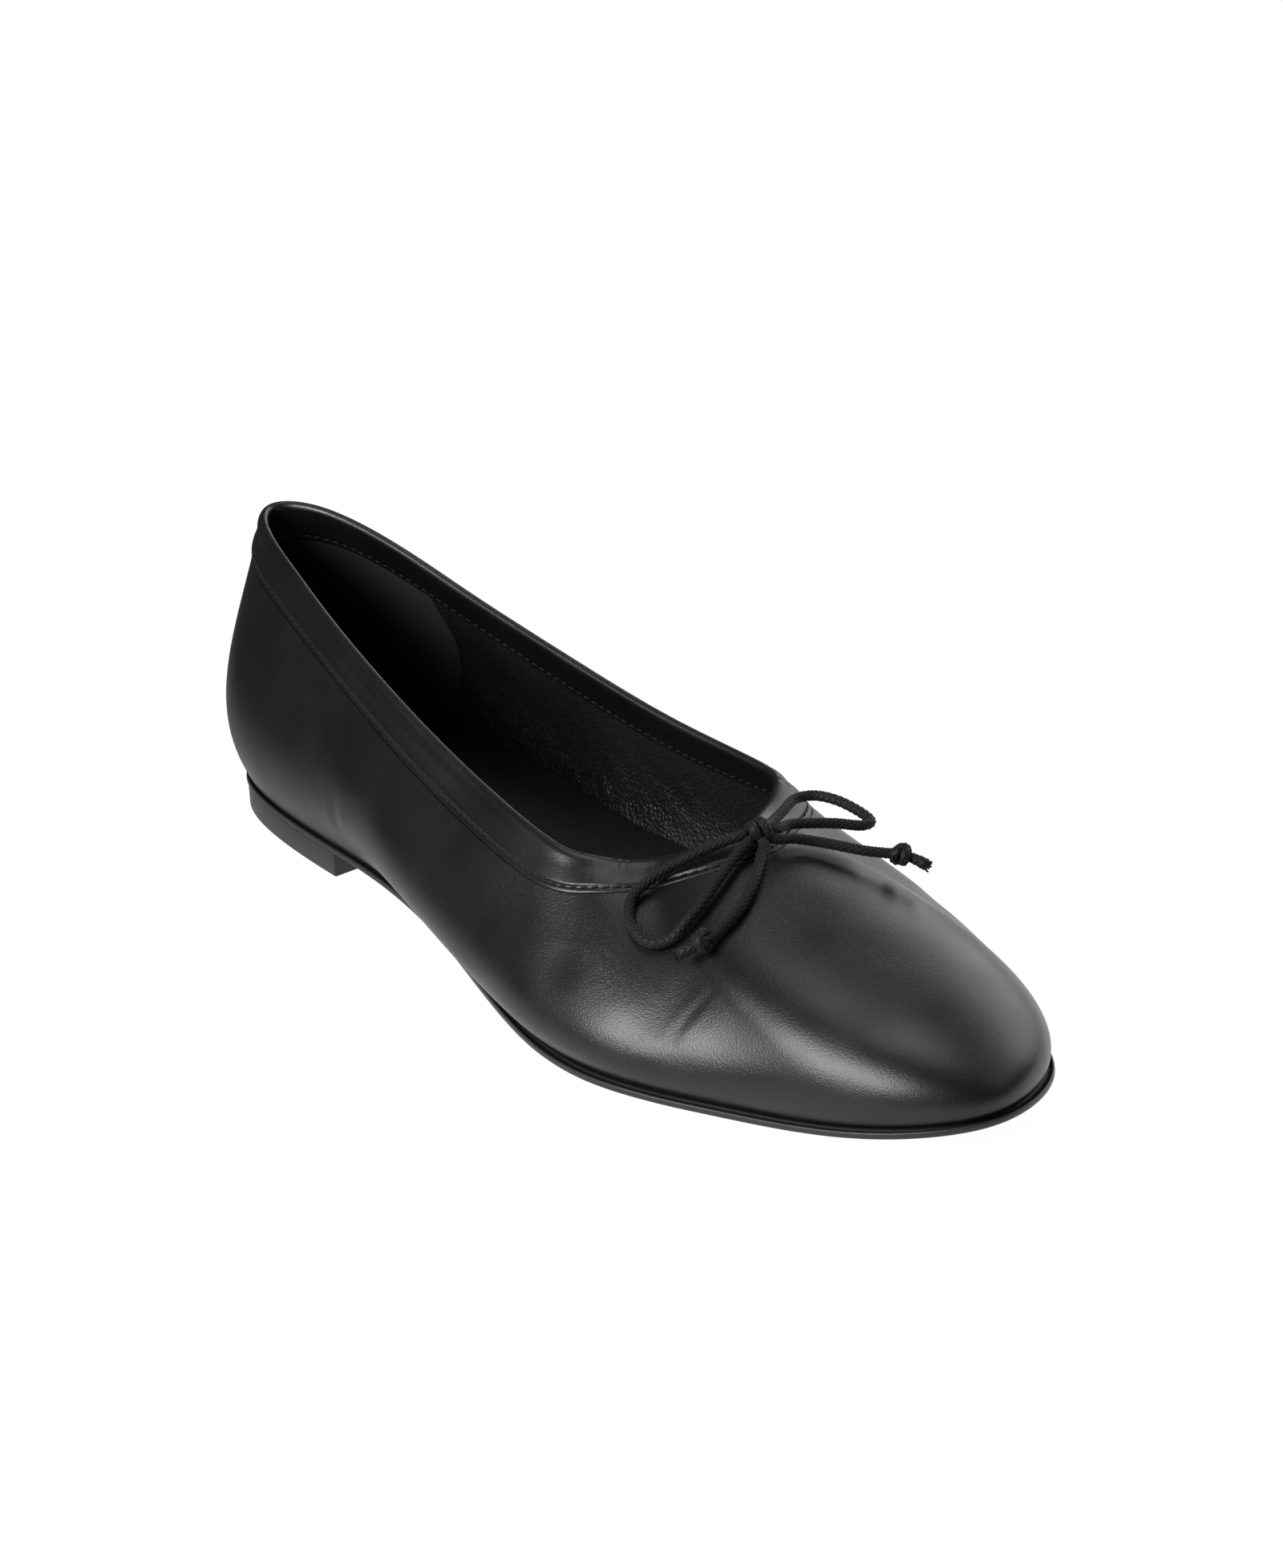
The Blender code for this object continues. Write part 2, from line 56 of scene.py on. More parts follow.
def addNode(tree, kind, settings=None, values=None, links=None):
    node = tree.nodes.new(kind)
    for name, value in (settings or {}).items():
        setattr(node, name, value)
    for name, value in (values or {}).items():
        node.inputs[name].default_value = value
    for name, socket in (links or {}).items():
        tree.links.new(socket, node.inputs[name])
    return node


def newMaterial(name):
    # a material with its tree, its shader and the piece's own coordinates in metres
    material = bpy.data.materials.new(name)
    material.use_nodes = True
    tree = material.node_tree
    place = addNode(tree, "ShaderNodeTexCoord").outputs["Object"]
    return material, tree, tree.nodes["Principled BSDF"], place


noiseSpan = (0.3, 0.7)       # most of a noise texture's values lie in here


def dressShader(tree, shader, colours, mix, relief=None, gloss=None, same=None):
    # two colours mixed by a pattern, relief as (height, strength, depth), gloss as (pattern,
    # roughness from and to), and what is the same all over on the shader's own sockets
    colour = addNode(tree, "ShaderNodeMix", settings={"data_type": "RGBA"}, links={"Factor": mix},
                     values={"A": hexToLinear(colours[0]), "B": hexToLinear(colours[1])})
    tree.links.new(colour.outputs["Result"], shader.inputs["Base Color"])
    if relief:
        height, strength, depth = relief
        bump = addNode(tree, "ShaderNodeBump", links={"Height": height},
                       values={"Strength": strength, "Distance": depth})
        tree.links.new(bump.outputs["Normal"], shader.inputs["Normal"])
    if gloss:
        pattern, roughness = gloss
        spread = addNode(tree, "ShaderNodeMapRange", links={"Value": pattern},
                         values={"From Min": noiseSpan[0], "From Max": noiseSpan[1],
                                 "To Min": roughness[0], "To Max": roughness[1]})
        tree.links.new(spread.outputs["Result"], shader.inputs["Roughness"])
    for name, value in (same or {}).items():
        shader.inputs[name].default_value = value


def smoothStep(share):
    share = np.clip(share, 0, 1)
    return share * share * (3 - 2 * share)


def bell(distance, width):
    return np.exp(-(np.asarray(distance) / width) ** 2)


def closeLoop(loop):
    return np.vstack([loop, loop[:1]])


def runAlong(points):
    # how far along the line each point is
    return np.concatenate([[0], np.cumsum(np.linalg.norm(np.diff(points, axis=0), axis=1))])


def finishPiece(name, mesh, materials, sharp=40):
    data = bpy.data.meshes.new(name)
    bmesh.ops.recalc_face_normals(mesh, faces=mesh.faces)
    mesh.to_mesh(data)
    mesh.free()
    data.shade_smooth()
    data.set_sharp_from_angle(angle=math.radians(sharp))
    for material in materials:
        data.materials.append(material)
    piece = bpy.data.objects.new(name, data)
    bpy.context.scene.collection.objects.link(piece)
    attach(piece, "root")
    return piece


def layGrid(mesh, places, wrapAcross=False, wrapDown=False, rowMaterial=None, shadeMarks=None):
    # places is [rows][columns][3]: a grid is created and its corners are put there, and the
    # # plait heights given are kept on them as the attribute that the cord's material reads to paint
    # shade and highlight
    rows, columns = places.shape[:2]
    across = columns if wrapAcross else columns - 1
    down = rows if wrapDown else rows - 1
    mesh.loops.layers.uv.verify()
    if shadeMarks is not None:
        layer = mesh.verts.layers.float.get("plait") or mesh.verts.layers.float.new("plait")
    made = bmesh.ops.create_grid(mesh, x_segments=across, y_segments=down, size=1,
                                 calc_uvs=True)["verts"]
    faces = {face for corner in made for face in corner.link_faces}
    if rowMaterial is not None:
        for face in faces:
            row = int((face.calc_center_median().y + 1) / 2 * down)
            face.material_index = rowMaterial[row]
    for corner in made:
        column = round((corner.co.x + 1) / 2 * across) % columns
        row = round((corner.co.y + 1) / 2 * down) % rows
        corner.co = places[row, column]
        if shadeMarks is not None:
            corner[layer] = shadeMarks[row, column]


# The camera stands where the photo was taken from.

photoCamera = dict(
    place=(-0.69700, -1.06856, 0.58979),
    azimuth=-35.9,           # degrees, 0 looks along +Y
    elevation=24.85,
    roll=-3.25,
    lens=146.65,
    sensor=36,
    clip=(0.05, 50),
)


def makeCamera(s):
    azimuth, elevation, roll = (math.radians(s[key]) for key in ("azimuth", "elevation", "roll"))
    back = Vector((math.sin(azimuth) * math.cos(elevation),
                   -math.cos(azimuth) * math.cos(elevation), math.sin(elevation)))
    level = Vector((math.cos(azimuth), math.sin(azimuth), 0))
    upright = back.cross(level)
    right = level * math.cos(roll) + upright * math.sin(roll)
    up = back.cross(right)
    data = bpy.data.cameras.new("photoCamera")
    data.sensor_width = s["sensor"]
    data.lens = s["lens"]
    data.clip_start, data.clip_end = s["clip"]
    camera = bpy.data.objects.new("photoCamera", data)
    bpy.context.scene.collection.objects.link(camera)
    turned = Matrix((right, up, back)).transposed().to_4x4()
    camera.matrix_world = Matrix.Translation(s["place"]) @ turned
    bpy.context.scene.camera = camera


makeCamera(photoCamera)
print("camera set")


# The last: one surface that every leather piece follows.

last = dict(
    length=246 * mm,
    ballWidth=80.5 * mm,
    collarHeight=62 * mm,
    throatHeight=37 * mm,
    heelRise=5.7 * mm,
    toeSpring=7 * mm,
    soleThick=2.4 * mm,
    clearance=0.3 * mm,
    originAt=0.10,
    breastAt=0.219,
    treadFrom=0.62,
    springFrom=0.74,
    # place along the last, then half widths at the sole on the medial and lateral side
    feather=[
        (0.008, 0.000, 0.000), (0.023, 0.192, 0.192), (0.118, 0.308, 0.308), (0.240, 0.335, 0.352),
        (0.325, 0.350, 0.335), (0.417, 0.395, 0.365), (0.536, 0.486, 0.450), (0.670, 0.535, 0.500),
        (0.790, 0.425, 0.463), (0.902, 0.308, 0.346), (0.972, 0.182, 0.180), (1.000, 0.030, -0.030),
    ],
    # place along, half widths of the opening, and its climb from throat to collar height
    topline=[
        (-0.006, 0.000, 0.000, 1.03, 1.03), (0.022, 0.088, 0.088, 1.01, 1.01),
        (0.106, 0.170, 0.168, 0.89, 0.82), (0.198, 0.230, 0.220, 0.69, 0.56),
        (0.320, 0.285, 0.271, 0.42, 0.29), (0.441, 0.320, 0.316, 0.18, 0.08),
        (0.551, 0.332, 0.343, 0.01, 0.00), (0.582, 0.287, 0.308, -0.05, -0.03),
        (0.599, 0.228, 0.240, -0.10, -0.07), (0.617, 0.152, 0.150, -0.10, -0.06),
        (0.639, 0.079, 0.077, -0.01, 0.00), (0.652, 0.000, 0.000, 0.05, 0.05),
    ],
    # rise, lean, drop and spread of the wall's curve, medial side, then lateral side
    wall=[
        (0.31, 0.076, 0.46, 0.056, 0.31, 0.076, 0.46, 0.056),
        (0.31, 0.095, 0.44, 0.105, 0.31, 0.095, 0.43, 0.090),
        (0.34, 0.111, 0.41, 0.102, 0.35, 0.096, 0.40, 0.080),
        (0.33, 0.122, 0.39, 0.072, 0.40, 0.080, 0.41, 0.060),
        (0.30, 0.180, 0.38, 0.066, 0.40, 0.072, 0.40, 0.050),
        (0.25, 0.202, 0.40, 0.086, 0.36, 0.070, 0.42, 0.060),
        (0.25, 0.160, 0.37, 0.120, 0.32, 0.067, 0.39, 0.095),
        (0.29, 0.107, 0.32, 0.185, 0.30, 0.080, 0.36, 0.183),
        (0.34, 0.063, 0.28, 0.275, 0.30, 0.091, 0.33, 0.305),
        (0.41, 0.050, 0.30, 0.375, 0.34, 0.073, 0.32, 0.397),
        (0.46, 0.037, 0.35, 0.475, 0.43, 0.055, 0.35, 0.482),
        (0.47, 0.033, 0.35, 0.495, 0.47, 0.033, 0.35, 0.495),
    ],
    rulerSteps=120,          # along a meridian, to measure down from the rim
)


def soleUnderside(length):
    share = length / last["length"]
    arch = smoothStep((last["treadFrom"] - share) / (last["treadFrom"] - last["breastAt"]))
    spring = np.clip((share - last["springFrom"]) / (1 - last["springFrom"]), 0, None)
    return last["heelRise"] * arch + last["toeSpring"] * spring**2


def closedSpline(knots, values, at):
    # a smooth closed cubic through the values, read at the places given
    count = len(values)
    step = np.diff(knots)
    value = closeLoop(values)
    slope = np.diff(value, axis=0) / step[:, None]
    system = np.zeros((count, count))
    for i in range(count):
        system[i, (i - 1) % count] += step[i - 1]
        system[i, i] += 2 * (step[i - 1] + step[i])
        system[i, (i + 1) % count] += step[i]
    bend = np.linalg.solve(system, 6 * (slope - np.roll(slope, 1, axis=0)))
    bend = closeLoop(bend)
    i = np.clip(np.searchsorted(knots, at, side="right") - 1, 0, count - 1)
    t = (at - knots[i])[:, None]
    h = step[i][:, None]
    linear = slope[i] - h * (2 * bend[i] + bend[i + 1]) / 6
    return value[i] + linear * t + bend[i] / 2 * t**2 + (bend[i + 1] - bend[i]) / (6 * h) * t**3


def outwardOf(loop):
    along = np.roll(loop, -1, axis=0) - np.roll(loop, 1, axis=0)
    across = np.stack([-along[:, 1], along[:, 0]], axis=1)
    return across / np.linalg.norm(across, axis=1)[:, None]


class LastSurface:
    # Meridians are numbered from the heel's back, medial side first; share 0 is at the
    # sole and 1 at the rim. Lengths here count from the heel's back towards the toe.

    def __init__(self, count):
        ring = []
        for side in (-1, 1):
            rows = []
            for feather, topline, wall in zip(last["feather"], last["topline"], last["wall"]):
                pick = 1 if side < 0 else 2
                climb = topline[2 + pick]
                rimHeight = last["throatHeight"] + climb * (last["collarHeight"] - last["throatHeight"])
                rows.append([
                    side * feather[pick] * last["ballWidth"], feather[0] * last["length"],
                    side * topline[pick] * last["ballWidth"], topline[0] * last["length"],
                    rimHeight, *wall[4 * pick - 4:4 * pick],
                ])
            ring.append(rows)
        ring = np.array(ring[0] + ring[1][-2:0:-1])
        hop = np.diff(closeLoop(ring), axis=0)
        spacing = np.linalg.norm(hop[:, 0:2], axis=1) + np.linalg.norm(hop[:, 2:4], axis=1)
        knots = np.concatenate([[0], np.cumsum(np.sqrt(spacing))])
        read = closedSpline(knots, ring, np.linspace(0, knots[-1], count + 1)[:-1])
        self.count = count
        self.plan = read[:, 0:2]
        rimPlan = read[:, 2:4]
        rise, lean, drop, spread = read[:, 5:9].T
        base = soleUnderside(self.plan[:, 1]) + last["soleThick"] + last["clearance"]
        height = read[:, 4] - base
        lower = self.plan + outwardOf(self.plan) * (lean * last["ballWidth"])[:, None]
        upper = rimPlan + outwardOf(rimPlan) * (spread * last["ballWidth"])[:, None]
        self.control = [
            np.column_stack([self.plan, base]),
            np.column_stack([lower, base + rise * height]),
            np.column_stack([upper, read[:, 4] - drop * height]),
            np.column_stack([rimPlan, read[:, 4]]),
        ]
        shares = np.linspace(1, 0, last["rulerSteps"] + 1)
        path = np.array([self.points(share) for share in shares])
        run = np.cumsum(np.linalg.norm(np.diff(path, axis=0), axis=2), axis=0)
        self.ruler = shares, np.vstack([np.zeros(count), run])
        self.rimRun = runAlong(closeLoop(path[0]))

    def points(self, share):
        t = np.broadcast_to(share, self.count)[:, None]
        a, b, c, d = self.control
        return a * (1 - t)**3 + 3 * b * t * (1 - t)**2 + 3 * c * t**2 * (1 - t) + d * t**3

    def normals(self, share):
        t = np.broadcast_to(share, self.count)[:, None]
        a, b, c, d = self.control
        up = (b - a) * (1 - t)**2 + 2 * (c - b) * t * (1 - t) + (d - c) * t**2
        here = self.points(share)
        along = np.roll(here, -1, axis=0) - np.roll(here, 1, axis=0)
        normal = np.cross(up, along)
        return normal / np.linalg.norm(normal, axis=1)[:, None]

    def skin(self, share, out):
        return self.points(share) + self.normals(share) * np.reshape(out, (-1, 1))

    def belowRim(self, distance):
        shares, run = self.ruler
        distance = np.broadcast_to(distance, self.count)
        return np.array([np.interp(distance[i], run[:, i], shares) for i in range(self.count)])


def toWorld(places):
    world = np.array(places, dtype=float)
    world[..., 1] = last["originAt"] * last["length"] - world[..., 1]
    return world


# Creases in the leather, each listed: its line on the shoe in mm, how wide and how
# # deep the trough is, and the ridge beside it.
creases = [
    # ball of the foot, medial: a fine line with a broad hollow behind it
    dict(line=[(-27.5, -163.0, 22.4), (-31.6, -161.6, 18.3), (-34.8, -160.8, 15.2),
               (-36.0, -161.2, 13.0)],
         width=0.9, depth=0.13, ridge=0.06),
    dict(line=[(-29.0, -157.0, 25.0), (-35.0, -155.5, 19.0), (-38.5, -154.5, 13.0)],
         width=5.0, depth=0.34, ridge=0.16),
    dict(line=[(-35.0, -146.0, 27.0), (-40.0, -141.0, 19.0)], width=4.5, depth=0.16, ridge=0.10),
    # medial waist and the front of the heel
    dict(line=[(-38.0, -128.0, 24.0), (-41.5, -131.0, 15.0)], width=6.0, depth=0.28, ridge=0.12),
    dict(line=[(-31.3, -37.9, 22.4), (-30.8, -37.6, 16.6), (-29.1, -36.5, 12.0)],
         width=1.8, depth=0.20, ridge=0.10),
    dict(line=[(-31.5, -48.0, 27.0), (-33.5, -50.0, 18.0)], width=6.0, depth=0.22, ridge=0.08),
    # vamp, in front of the bow
    dict(line=[(-8.0, -166.0, 30.5), (3.0, -167.0, 31.0), (13.0, -165.0, 30.0)],
         width=5.0, depth=0.14, ridge=0.08),
    # lateral quarter
    dict(line=[(38.5, -112.0, 26.0), (40.0, -118.0, 15.0)], width=5.0, depth=0.25, ridge=0.12),
    dict(line=[(38.0, -152.0, 24.0), (41.0, -156.0, 14.0)], width=4.0, depth=0.22, ridge=0.12),
    # folds in the lining, lateral side
    dict(line=[(27.5, -50.3, 17.5), (27.0, -53.7, 13.8), (25.8, -57.8, 9.3)],
         width=0.9, depth=0.28, ridge=0.2),
    dict(line=[(30.5, -78.0, 22.0), (30.0, -84.0, 12.0)], width=1.4, depth=0.20, ridge=0.15),
]
ridgeAt = 2.1                # widths from a crease's line to the middle of its ridge


def creaseDepth(places):
    # how far the creases push the surface in, at places in world metres
    moved = np.zeros(places.shape[:-1])
    for crease in creases:
        line = np.array(crease["line"]) * mm
        best = np.full(moved.shape, 1.0)
        share = np.zeros(moved.shape)
        hops = len(line) - 1
        for i in range(hops):
            a, b = line[i], line[i + 1]
            t = np.clip(((places - a) @ (b - a)) / ((b - a) @ (b - a)), 0, 1)
            gap = np.linalg.norm(places - (a + t[..., None] * (b - a)), axis=-1)
            closer = gap < best
            best = np.where(closer, gap, best)
            share = np.where(closer, (i + t) / hops, share)
        fade = np.sin(np.pi * np.clip(share * 0.8 + 0.1, 0, 1))    # shallow at both ends
        width = crease["width"] * mm
        trough = bell(best, width)
        ridge = bell(best - ridgeAt * width, width)
        moved += fade * mm * (crease["depth"] * trough - crease["ridge"] * ridge)
    return moved


print("last surface ready")


# The drawstring's bow.

bow = dict(
    diameter=2.3 * mm,
    around=40,               # faces round the cord
    step=0.20 * mm,          # and along it
    strands=7,               # plaits seen round the cord, each way
    plait=1.5 * mm,          # length of one plait
    relief=0.26 * mm,        # how deep the plaits stand
    crown=0.6,               # how round a plait's back is, from 0, flat, to 1, an arch
    dive=0.2,                # a plait's height where it runs under the next
    stub=0.35,               # cut ends are drawn in to this share of the radius
    stubLength=0.5,          # over this share of the radius
    knotPlace=(1.4, -142.4, 40.6),
    knotWay=(1, 0, -0.12),
    # the two turns of the knot: side, radius in mm, thickness in diameters, lean
    knotTurns=[(-1, 1.45, 0.9, 0.30), (1, 1.85, 1.08, -0.22)],
    turnApart=0.52,          # from the knot's middle, in diameters
    turnSplay=0.25,
    turnWave=0.25 * mm,      # how far a turn leaves its plane
    core=(2.0 * mm, 1.1 * mm),    # half length and radius of the cord that fills the knot
    # the two turns of a tip's knot: lift and radius in diameters, tilt, thickness in diameters
    tipTurns=[(0.0, 0.62, 0.5, 1.0), (0.35, 0.50, -0.6, 0.92)],
    tail=7 * mm,             # cord left over past a tip's knot
    tailStart=0.5,           # it starts this many diameters inside the knot
    tailShort=0.8 * mm,      # and stops short by this much, where loose yarns go on
    tailCurve=0.5 * mm,
    tailBend=2.5,            # radians of a sine wave along the tail
    tailThick=0.48,          # radius in diameters
    flare=0.22,              # the cut end is this much wider
    yarnEnds=48,             # loose yarns at each cut end
    yarnLength=(0.5, 1.0),   # in mm
    yarnThick=(0.15 * mm, 0.09 * mm),
    yarnSpread=(0.1, 1.1),   # from the tail's middle, in mm
    yarnRoot=0.35 * mm,      # how deep in the tail they start
    yarnSplay=0.5,
    # points along a turn of the knot, its core, a turn of a tip's knot and a tail
    turnSteps=60,
    coreSteps=30,
    tipTurnSteps=54,
    tailSteps=34,
    # the routes' points in millimetres from the origin, each from the knot outwards
    routes=dict(
        bowLoopMedial=[
            (-2.2, -140.9, 40.3), (-5.2, -139.2, 39.3), (-11.2, -136.6, 37.3), (-17.5, -134.2, 34.8),
            (-23.3, -133.4, 31.8), (-26.9, -136.0, 29.6), (-28.6, -140.0, 27.8), (-28.6, -144.6, 26.9),
            (-26.0, -147.9, 27.7), (-22.3, -149.3, 31.2), (-17.7, -148.6, 33.5), (-11.4, -146.6, 36.5),
            (-5.9, -144.4, 38.2), (-2.4, -143.6, 39.5),
        ],
        bowEndMedial=[
            (0.6, -145.6, 39.1), (-1.3, -147.1, 38.2), (-4.2, -149.6, 37.0), (-9.0, -153.2, 35.4),
            (-15.0, -156.2, 33.3), (-22.0, -157.3, 30.6),
        ],
        bowLoopLateral=[
            (4.9, -140.7, 40.2), (9.6, -136.6, 38.2), (15.5, -132.6, 37.2), (21.5, -129.0, 36.8),
            (25.8, -130.0, 36.6), (28.0, -134.6, 36.4), (28.9, -140.6, 35.7), (28.3, -145.2, 35.2),
            (25.2, -145.9, 35.5), (20.8, -143.3, 36.5), (15.6, -141.4, 37.6), (10.6, -140.8, 38.7),
            (5.6, -142.9, 39.8),
        ],
        bowEndLateral=[
            (4.4, -145.1, 39.0), (8.2, -145.5, 38.0), (12.4, -146.8, 36.5), (16.6, -150.3, 35.2),
            (20.0, -153.6, 34.2), (24.1, -156.6, 33.3),
        ],
    ),
    nodes=dict(
        bowLoopMedial="bow_loop_medial", bowEndMedial="bow_end_medial",
        bowLoopLateral="bow_loop_lateral", bowEndLateral="bow_end_lateral",
    ),
    # each tip's node, cord, place in mm, and the way its tail points
    tips=dict(
        bowTipMedial=("bow_tip_medial", "bowEndMedial", (-24.4, -157.4, 30.5), (-0.75, 0.50, -0.43)),
        bowTipLateral=("bow_tip_lateral", "bowEndLateral", (25.8, -157.6, 33.0), (0.42, -0.86, -0.29)),
    ),
)


braidFinish = dict(
    colours=("#020202", "#141416"),    # painted shade in the grooves, and painted highlight on the plaits' tops
    fibre=0.25 * mm,         # real fibres are a tenth of this and would not show
    fibreDepth=0.08 * mm,
    fibreContrast=0.5,
    waxPatch=3.0 * mm,
    roughness=(0.5, 0.68),   # where the wax is thick, and where it is thin
    specular=0.22,
    sheen=0.06,
)


def makeWaxedCotton(s):
    # Waxed cotton braid: black yarn under wax with a dull sheen. The colour is painted
    # # darker in the grooves as shade and paler on the plaits' tops as highlight, with random fibre
    # tone.
    material, tree, shader, place = newMaterial("waxedCottonBraid")
    fibre = addNode(tree, "ShaderNodeTexNoise", links={"Vector": place},
                    values={"Scale": 1 / s["fibre"], "Detail": 3.0, "Roughness": 0.6}).outputs["Fac"]
    wax = addNode(tree, "ShaderNodeTexNoise", links={"Vector": place},
                  values={"Scale": 1 / s["waxPatch"], "Detail": 2.0}).outputs["Fac"]
    # the plait attribute, 0 in the grooves and 1 on the tops, paints shade and highlight into the colour
    plait = addNode(tree, "ShaderNodeAttribute", settings={"attribute_name": "plait"}).outputs["Fac"]
    worn = addNode(tree, "ShaderNodeMath", settings={"operation": "MULTIPLY_ADD"}, links={0: fibre},
                   values={1: s["fibreContrast"], 2: -s["fibreContrast"] / 2}).outputs["Value"]
    plaitShadeAndFibre = addNode(tree, "ShaderNodeMath", settings={"operation": "ADD", "use_clamp": True},
                   links={0: plait, 1: worn}).outputs["Value"]
    dressShader(tree, shader, s["colours"], plaitShadeAndFibre, (fibre, 0.5, s["fibreDepth"]), (wax, s["roughness"]), {
        "Specular IOR Level": s["specular"], "Sheen Weight": s["sheen"], "Sheen Roughness": 0.5,
    })
    return material


waxedCotton = makeWaxedCotton(braidFinish)


def smoothRoute(points, step, finer=24):
    # a smooth curve through the points, in equal steps, and its length
    route = np.array(points, dtype=float)
    ends = np.vstack([2 * route[0] - route[1], route, 2 * route[-1] - route[-2]])
    fine = []
    for a, b, c, d in zip(ends, ends[1:], ends[2:], ends[3:]):
        for t in np.linspace(0, 1, finer, endpoint=False):
            fine.append(b + (c - a) / 2 * t + (a - 2.5 * b + 2 * c - d / 2) * t**2
                        + (1.5 * (b - c) + (d - a) / 2) * t**3)
    fine = np.array(fine + [route[-1]])
    run = runAlong(fine)
    at = np.linspace(0, run[-1], round(run[-1] / step) + 1)
    return np.column_stack([np.interp(at, run, fine[:, axis]) for axis in range(3)]), run[-1]


def plaitHeight(angle, run, s):
    # 0 in the grooves and 1 on top of a plait, for an over-one-under-one braid
    first = s["strands"] * angle / math.tau + run / s["plait"]
    second = s["strands"] * angle / math.tau - run / s["plait"]
    a, b = first % 1, second % 1
    over = (np.floor(first) + np.floor(second)) % 2
    crown, dive = s["crown"], s["dive"]
    alongFirst = np.sin(np.pi * a) ** crown * (dive + (1 - dive) * np.sin(np.pi * b))
    alongSecond = np.sin(np.pi * b) ** crown * (dive + (1 - dive) * np.sin(np.pi * a))
    return np.where(over > 0.5, alongFirst, alongSecond)


def braidAlong(mesh, path, s, radius=None, closed=False, flare=0.0):
    # a braided tube along a path, its ends drawn in to a rounded stub
    radius = s["diameter"] / 2 if radius is None else radius
    count = len(path)
    if closed:
        ways = np.roll(path, -1, axis=0) - np.roll(path, 1, axis=0)
    else:
        ways = np.gradient(path, axis=0)
    ways = ways / np.linalg.norm(ways, axis=1)[:, None]
    side = np.cross(ways[0], (0.31, 0.17, 0.93))    # a way that no cord here runs
    sides = []
    for way in ways:
        side = side - way * (side @ way)
        side = side / np.linalg.norm(side)
        sides.append(side)
    sides = np.array(sides)
    twist = 0.0
    if closed:      # the frame's turn is spread along the ring so that it closes
        end = sides[-1] - ways[0] * (sides[-1] @ ways[0])
        twist = -math.atan2(np.cross(sides[0], end) @ ways[0], sides[0] @ end)
    ups = np.cross(ways, sides)
    run = runAlong(path)
    if closed:      # a whole number of plaits fits round the ring
        whole = run[-1] + np.linalg.norm(path[0] - path[-1])
        run = run * (s["plait"] * max(1, round(whole / s["plait"]))) / whole
    angles = np.linspace(0, math.tau, s["around"], endpoint=False)
    size = np.full(count, 1.0)
    if not closed:
        fromEnd = np.minimum(run, run[-1] - run)
        drawnIn = np.sqrt(fromEnd / (radius * s["stubLength"]))
        size = np.minimum(1, s["stub"] + (1 - s["stub"]) * drawnIn)
        # a flare widens over the last five eighths of the length
        size = size * (1 + flare * smoothStep(run / run[-1] * 1.6 - 0.6))
    rows, shadeMarks = [], []
    for i in range(count):
        turned = angles + twist * i / count
        height = plaitHeight(angles, run[i], s)
        # the plait height also goes to the colour, as painted shade in the grooves and painted highlight
        # on the tops
        shadeMarks.append(height)
        out = (radius - s["relief"] * (1 - height) * min(1, radius / (s["diameter"] / 2))) * size[i]
        ray = np.cos(turned)[:, None] * sides[i] + np.sin(turned)[:, None] * ups[i]
        rows.append(path[i] + out[:, None] * ray)
    before = len(mesh.verts)
    layGrid(mesh, np.array(rows), wrapAcross=True, wrapDown=closed, shadeMarks=np.array(shadeMarks))
    mesh.verts.ensure_lookup_table()
    bmesh.ops.remove_doubles(mesh, verts=mesh.verts[before:], dist=1e-6)
    if not closed:
        bmesh.ops.holes_fill(mesh, edges=[edge for edge in mesh.edges if edge.is_boundary], sides=0)


def makeCords(s):
    made = {}
    for name, points in s["routes"].items():
        inKnot = [tuple(0.5 * (a + b) for a, b in zip(points[end], s["knotPlace"])) for end in (0, -1)]
        tips = [place for _, cord, place, _ in s["tips"].values() if cord == name]
        # all cords start in the bow's knot; loops come back to it, ends run into their own knot
        points = [inKnot[0]] + points + (tips or [inKnot[1]])
        path, length = smoothRoute(np.array(points) * mm, s["step"])
        mesh = bmesh.new()
        braidAlong(mesh, path, s)
        piece = finishPiece(name, mesh, [waxedCotton], sharp=80)
        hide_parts(s["nodes"][name])
        made[name] = piece, path, length
    return made


def makeKnot(s):
    centre = Vector(s["knotPlace"]) * mm
    across = Vector(s["knotWay"]).normalized()
    mesh = bmesh.new()
    for side, radius, thick, lean in s["knotTurns"]:
        axis = (across + Vector((0, s["turnSplay"] * side + lean, 0.1))).normalized()
        turned = axis.to_track_quat("Z", "Y").to_matrix()
        middle = centre + across * side * s["diameter"] * s["turnApart"]
        angles = np.linspace(0, math.tau, s["turnSteps"], endpoint=False)
        ring = [middle + turned @ Vector((math.cos(a) * radius * mm, math.sin(a) * radius * mm,
                                          s["turnWave"] * math.sin(2 * a))) for a in angles]
        braidAlong(mesh, np.array(ring), s, radius=s["diameter"] / 2 * thick, closed=True)
    halfLength, radius = s["core"]
    reach = np.array(across) * halfLength
    core = np.linspace(np.array(centre) - reach, np.array(centre) + reach, s["coreSteps"])
    braidAlong(mesh, core, s, radius=radius)
    knot = finishPiece("bowKnot", mesh, [waxedCotton], sharp=80)
    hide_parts("bow_knot")
    return knot


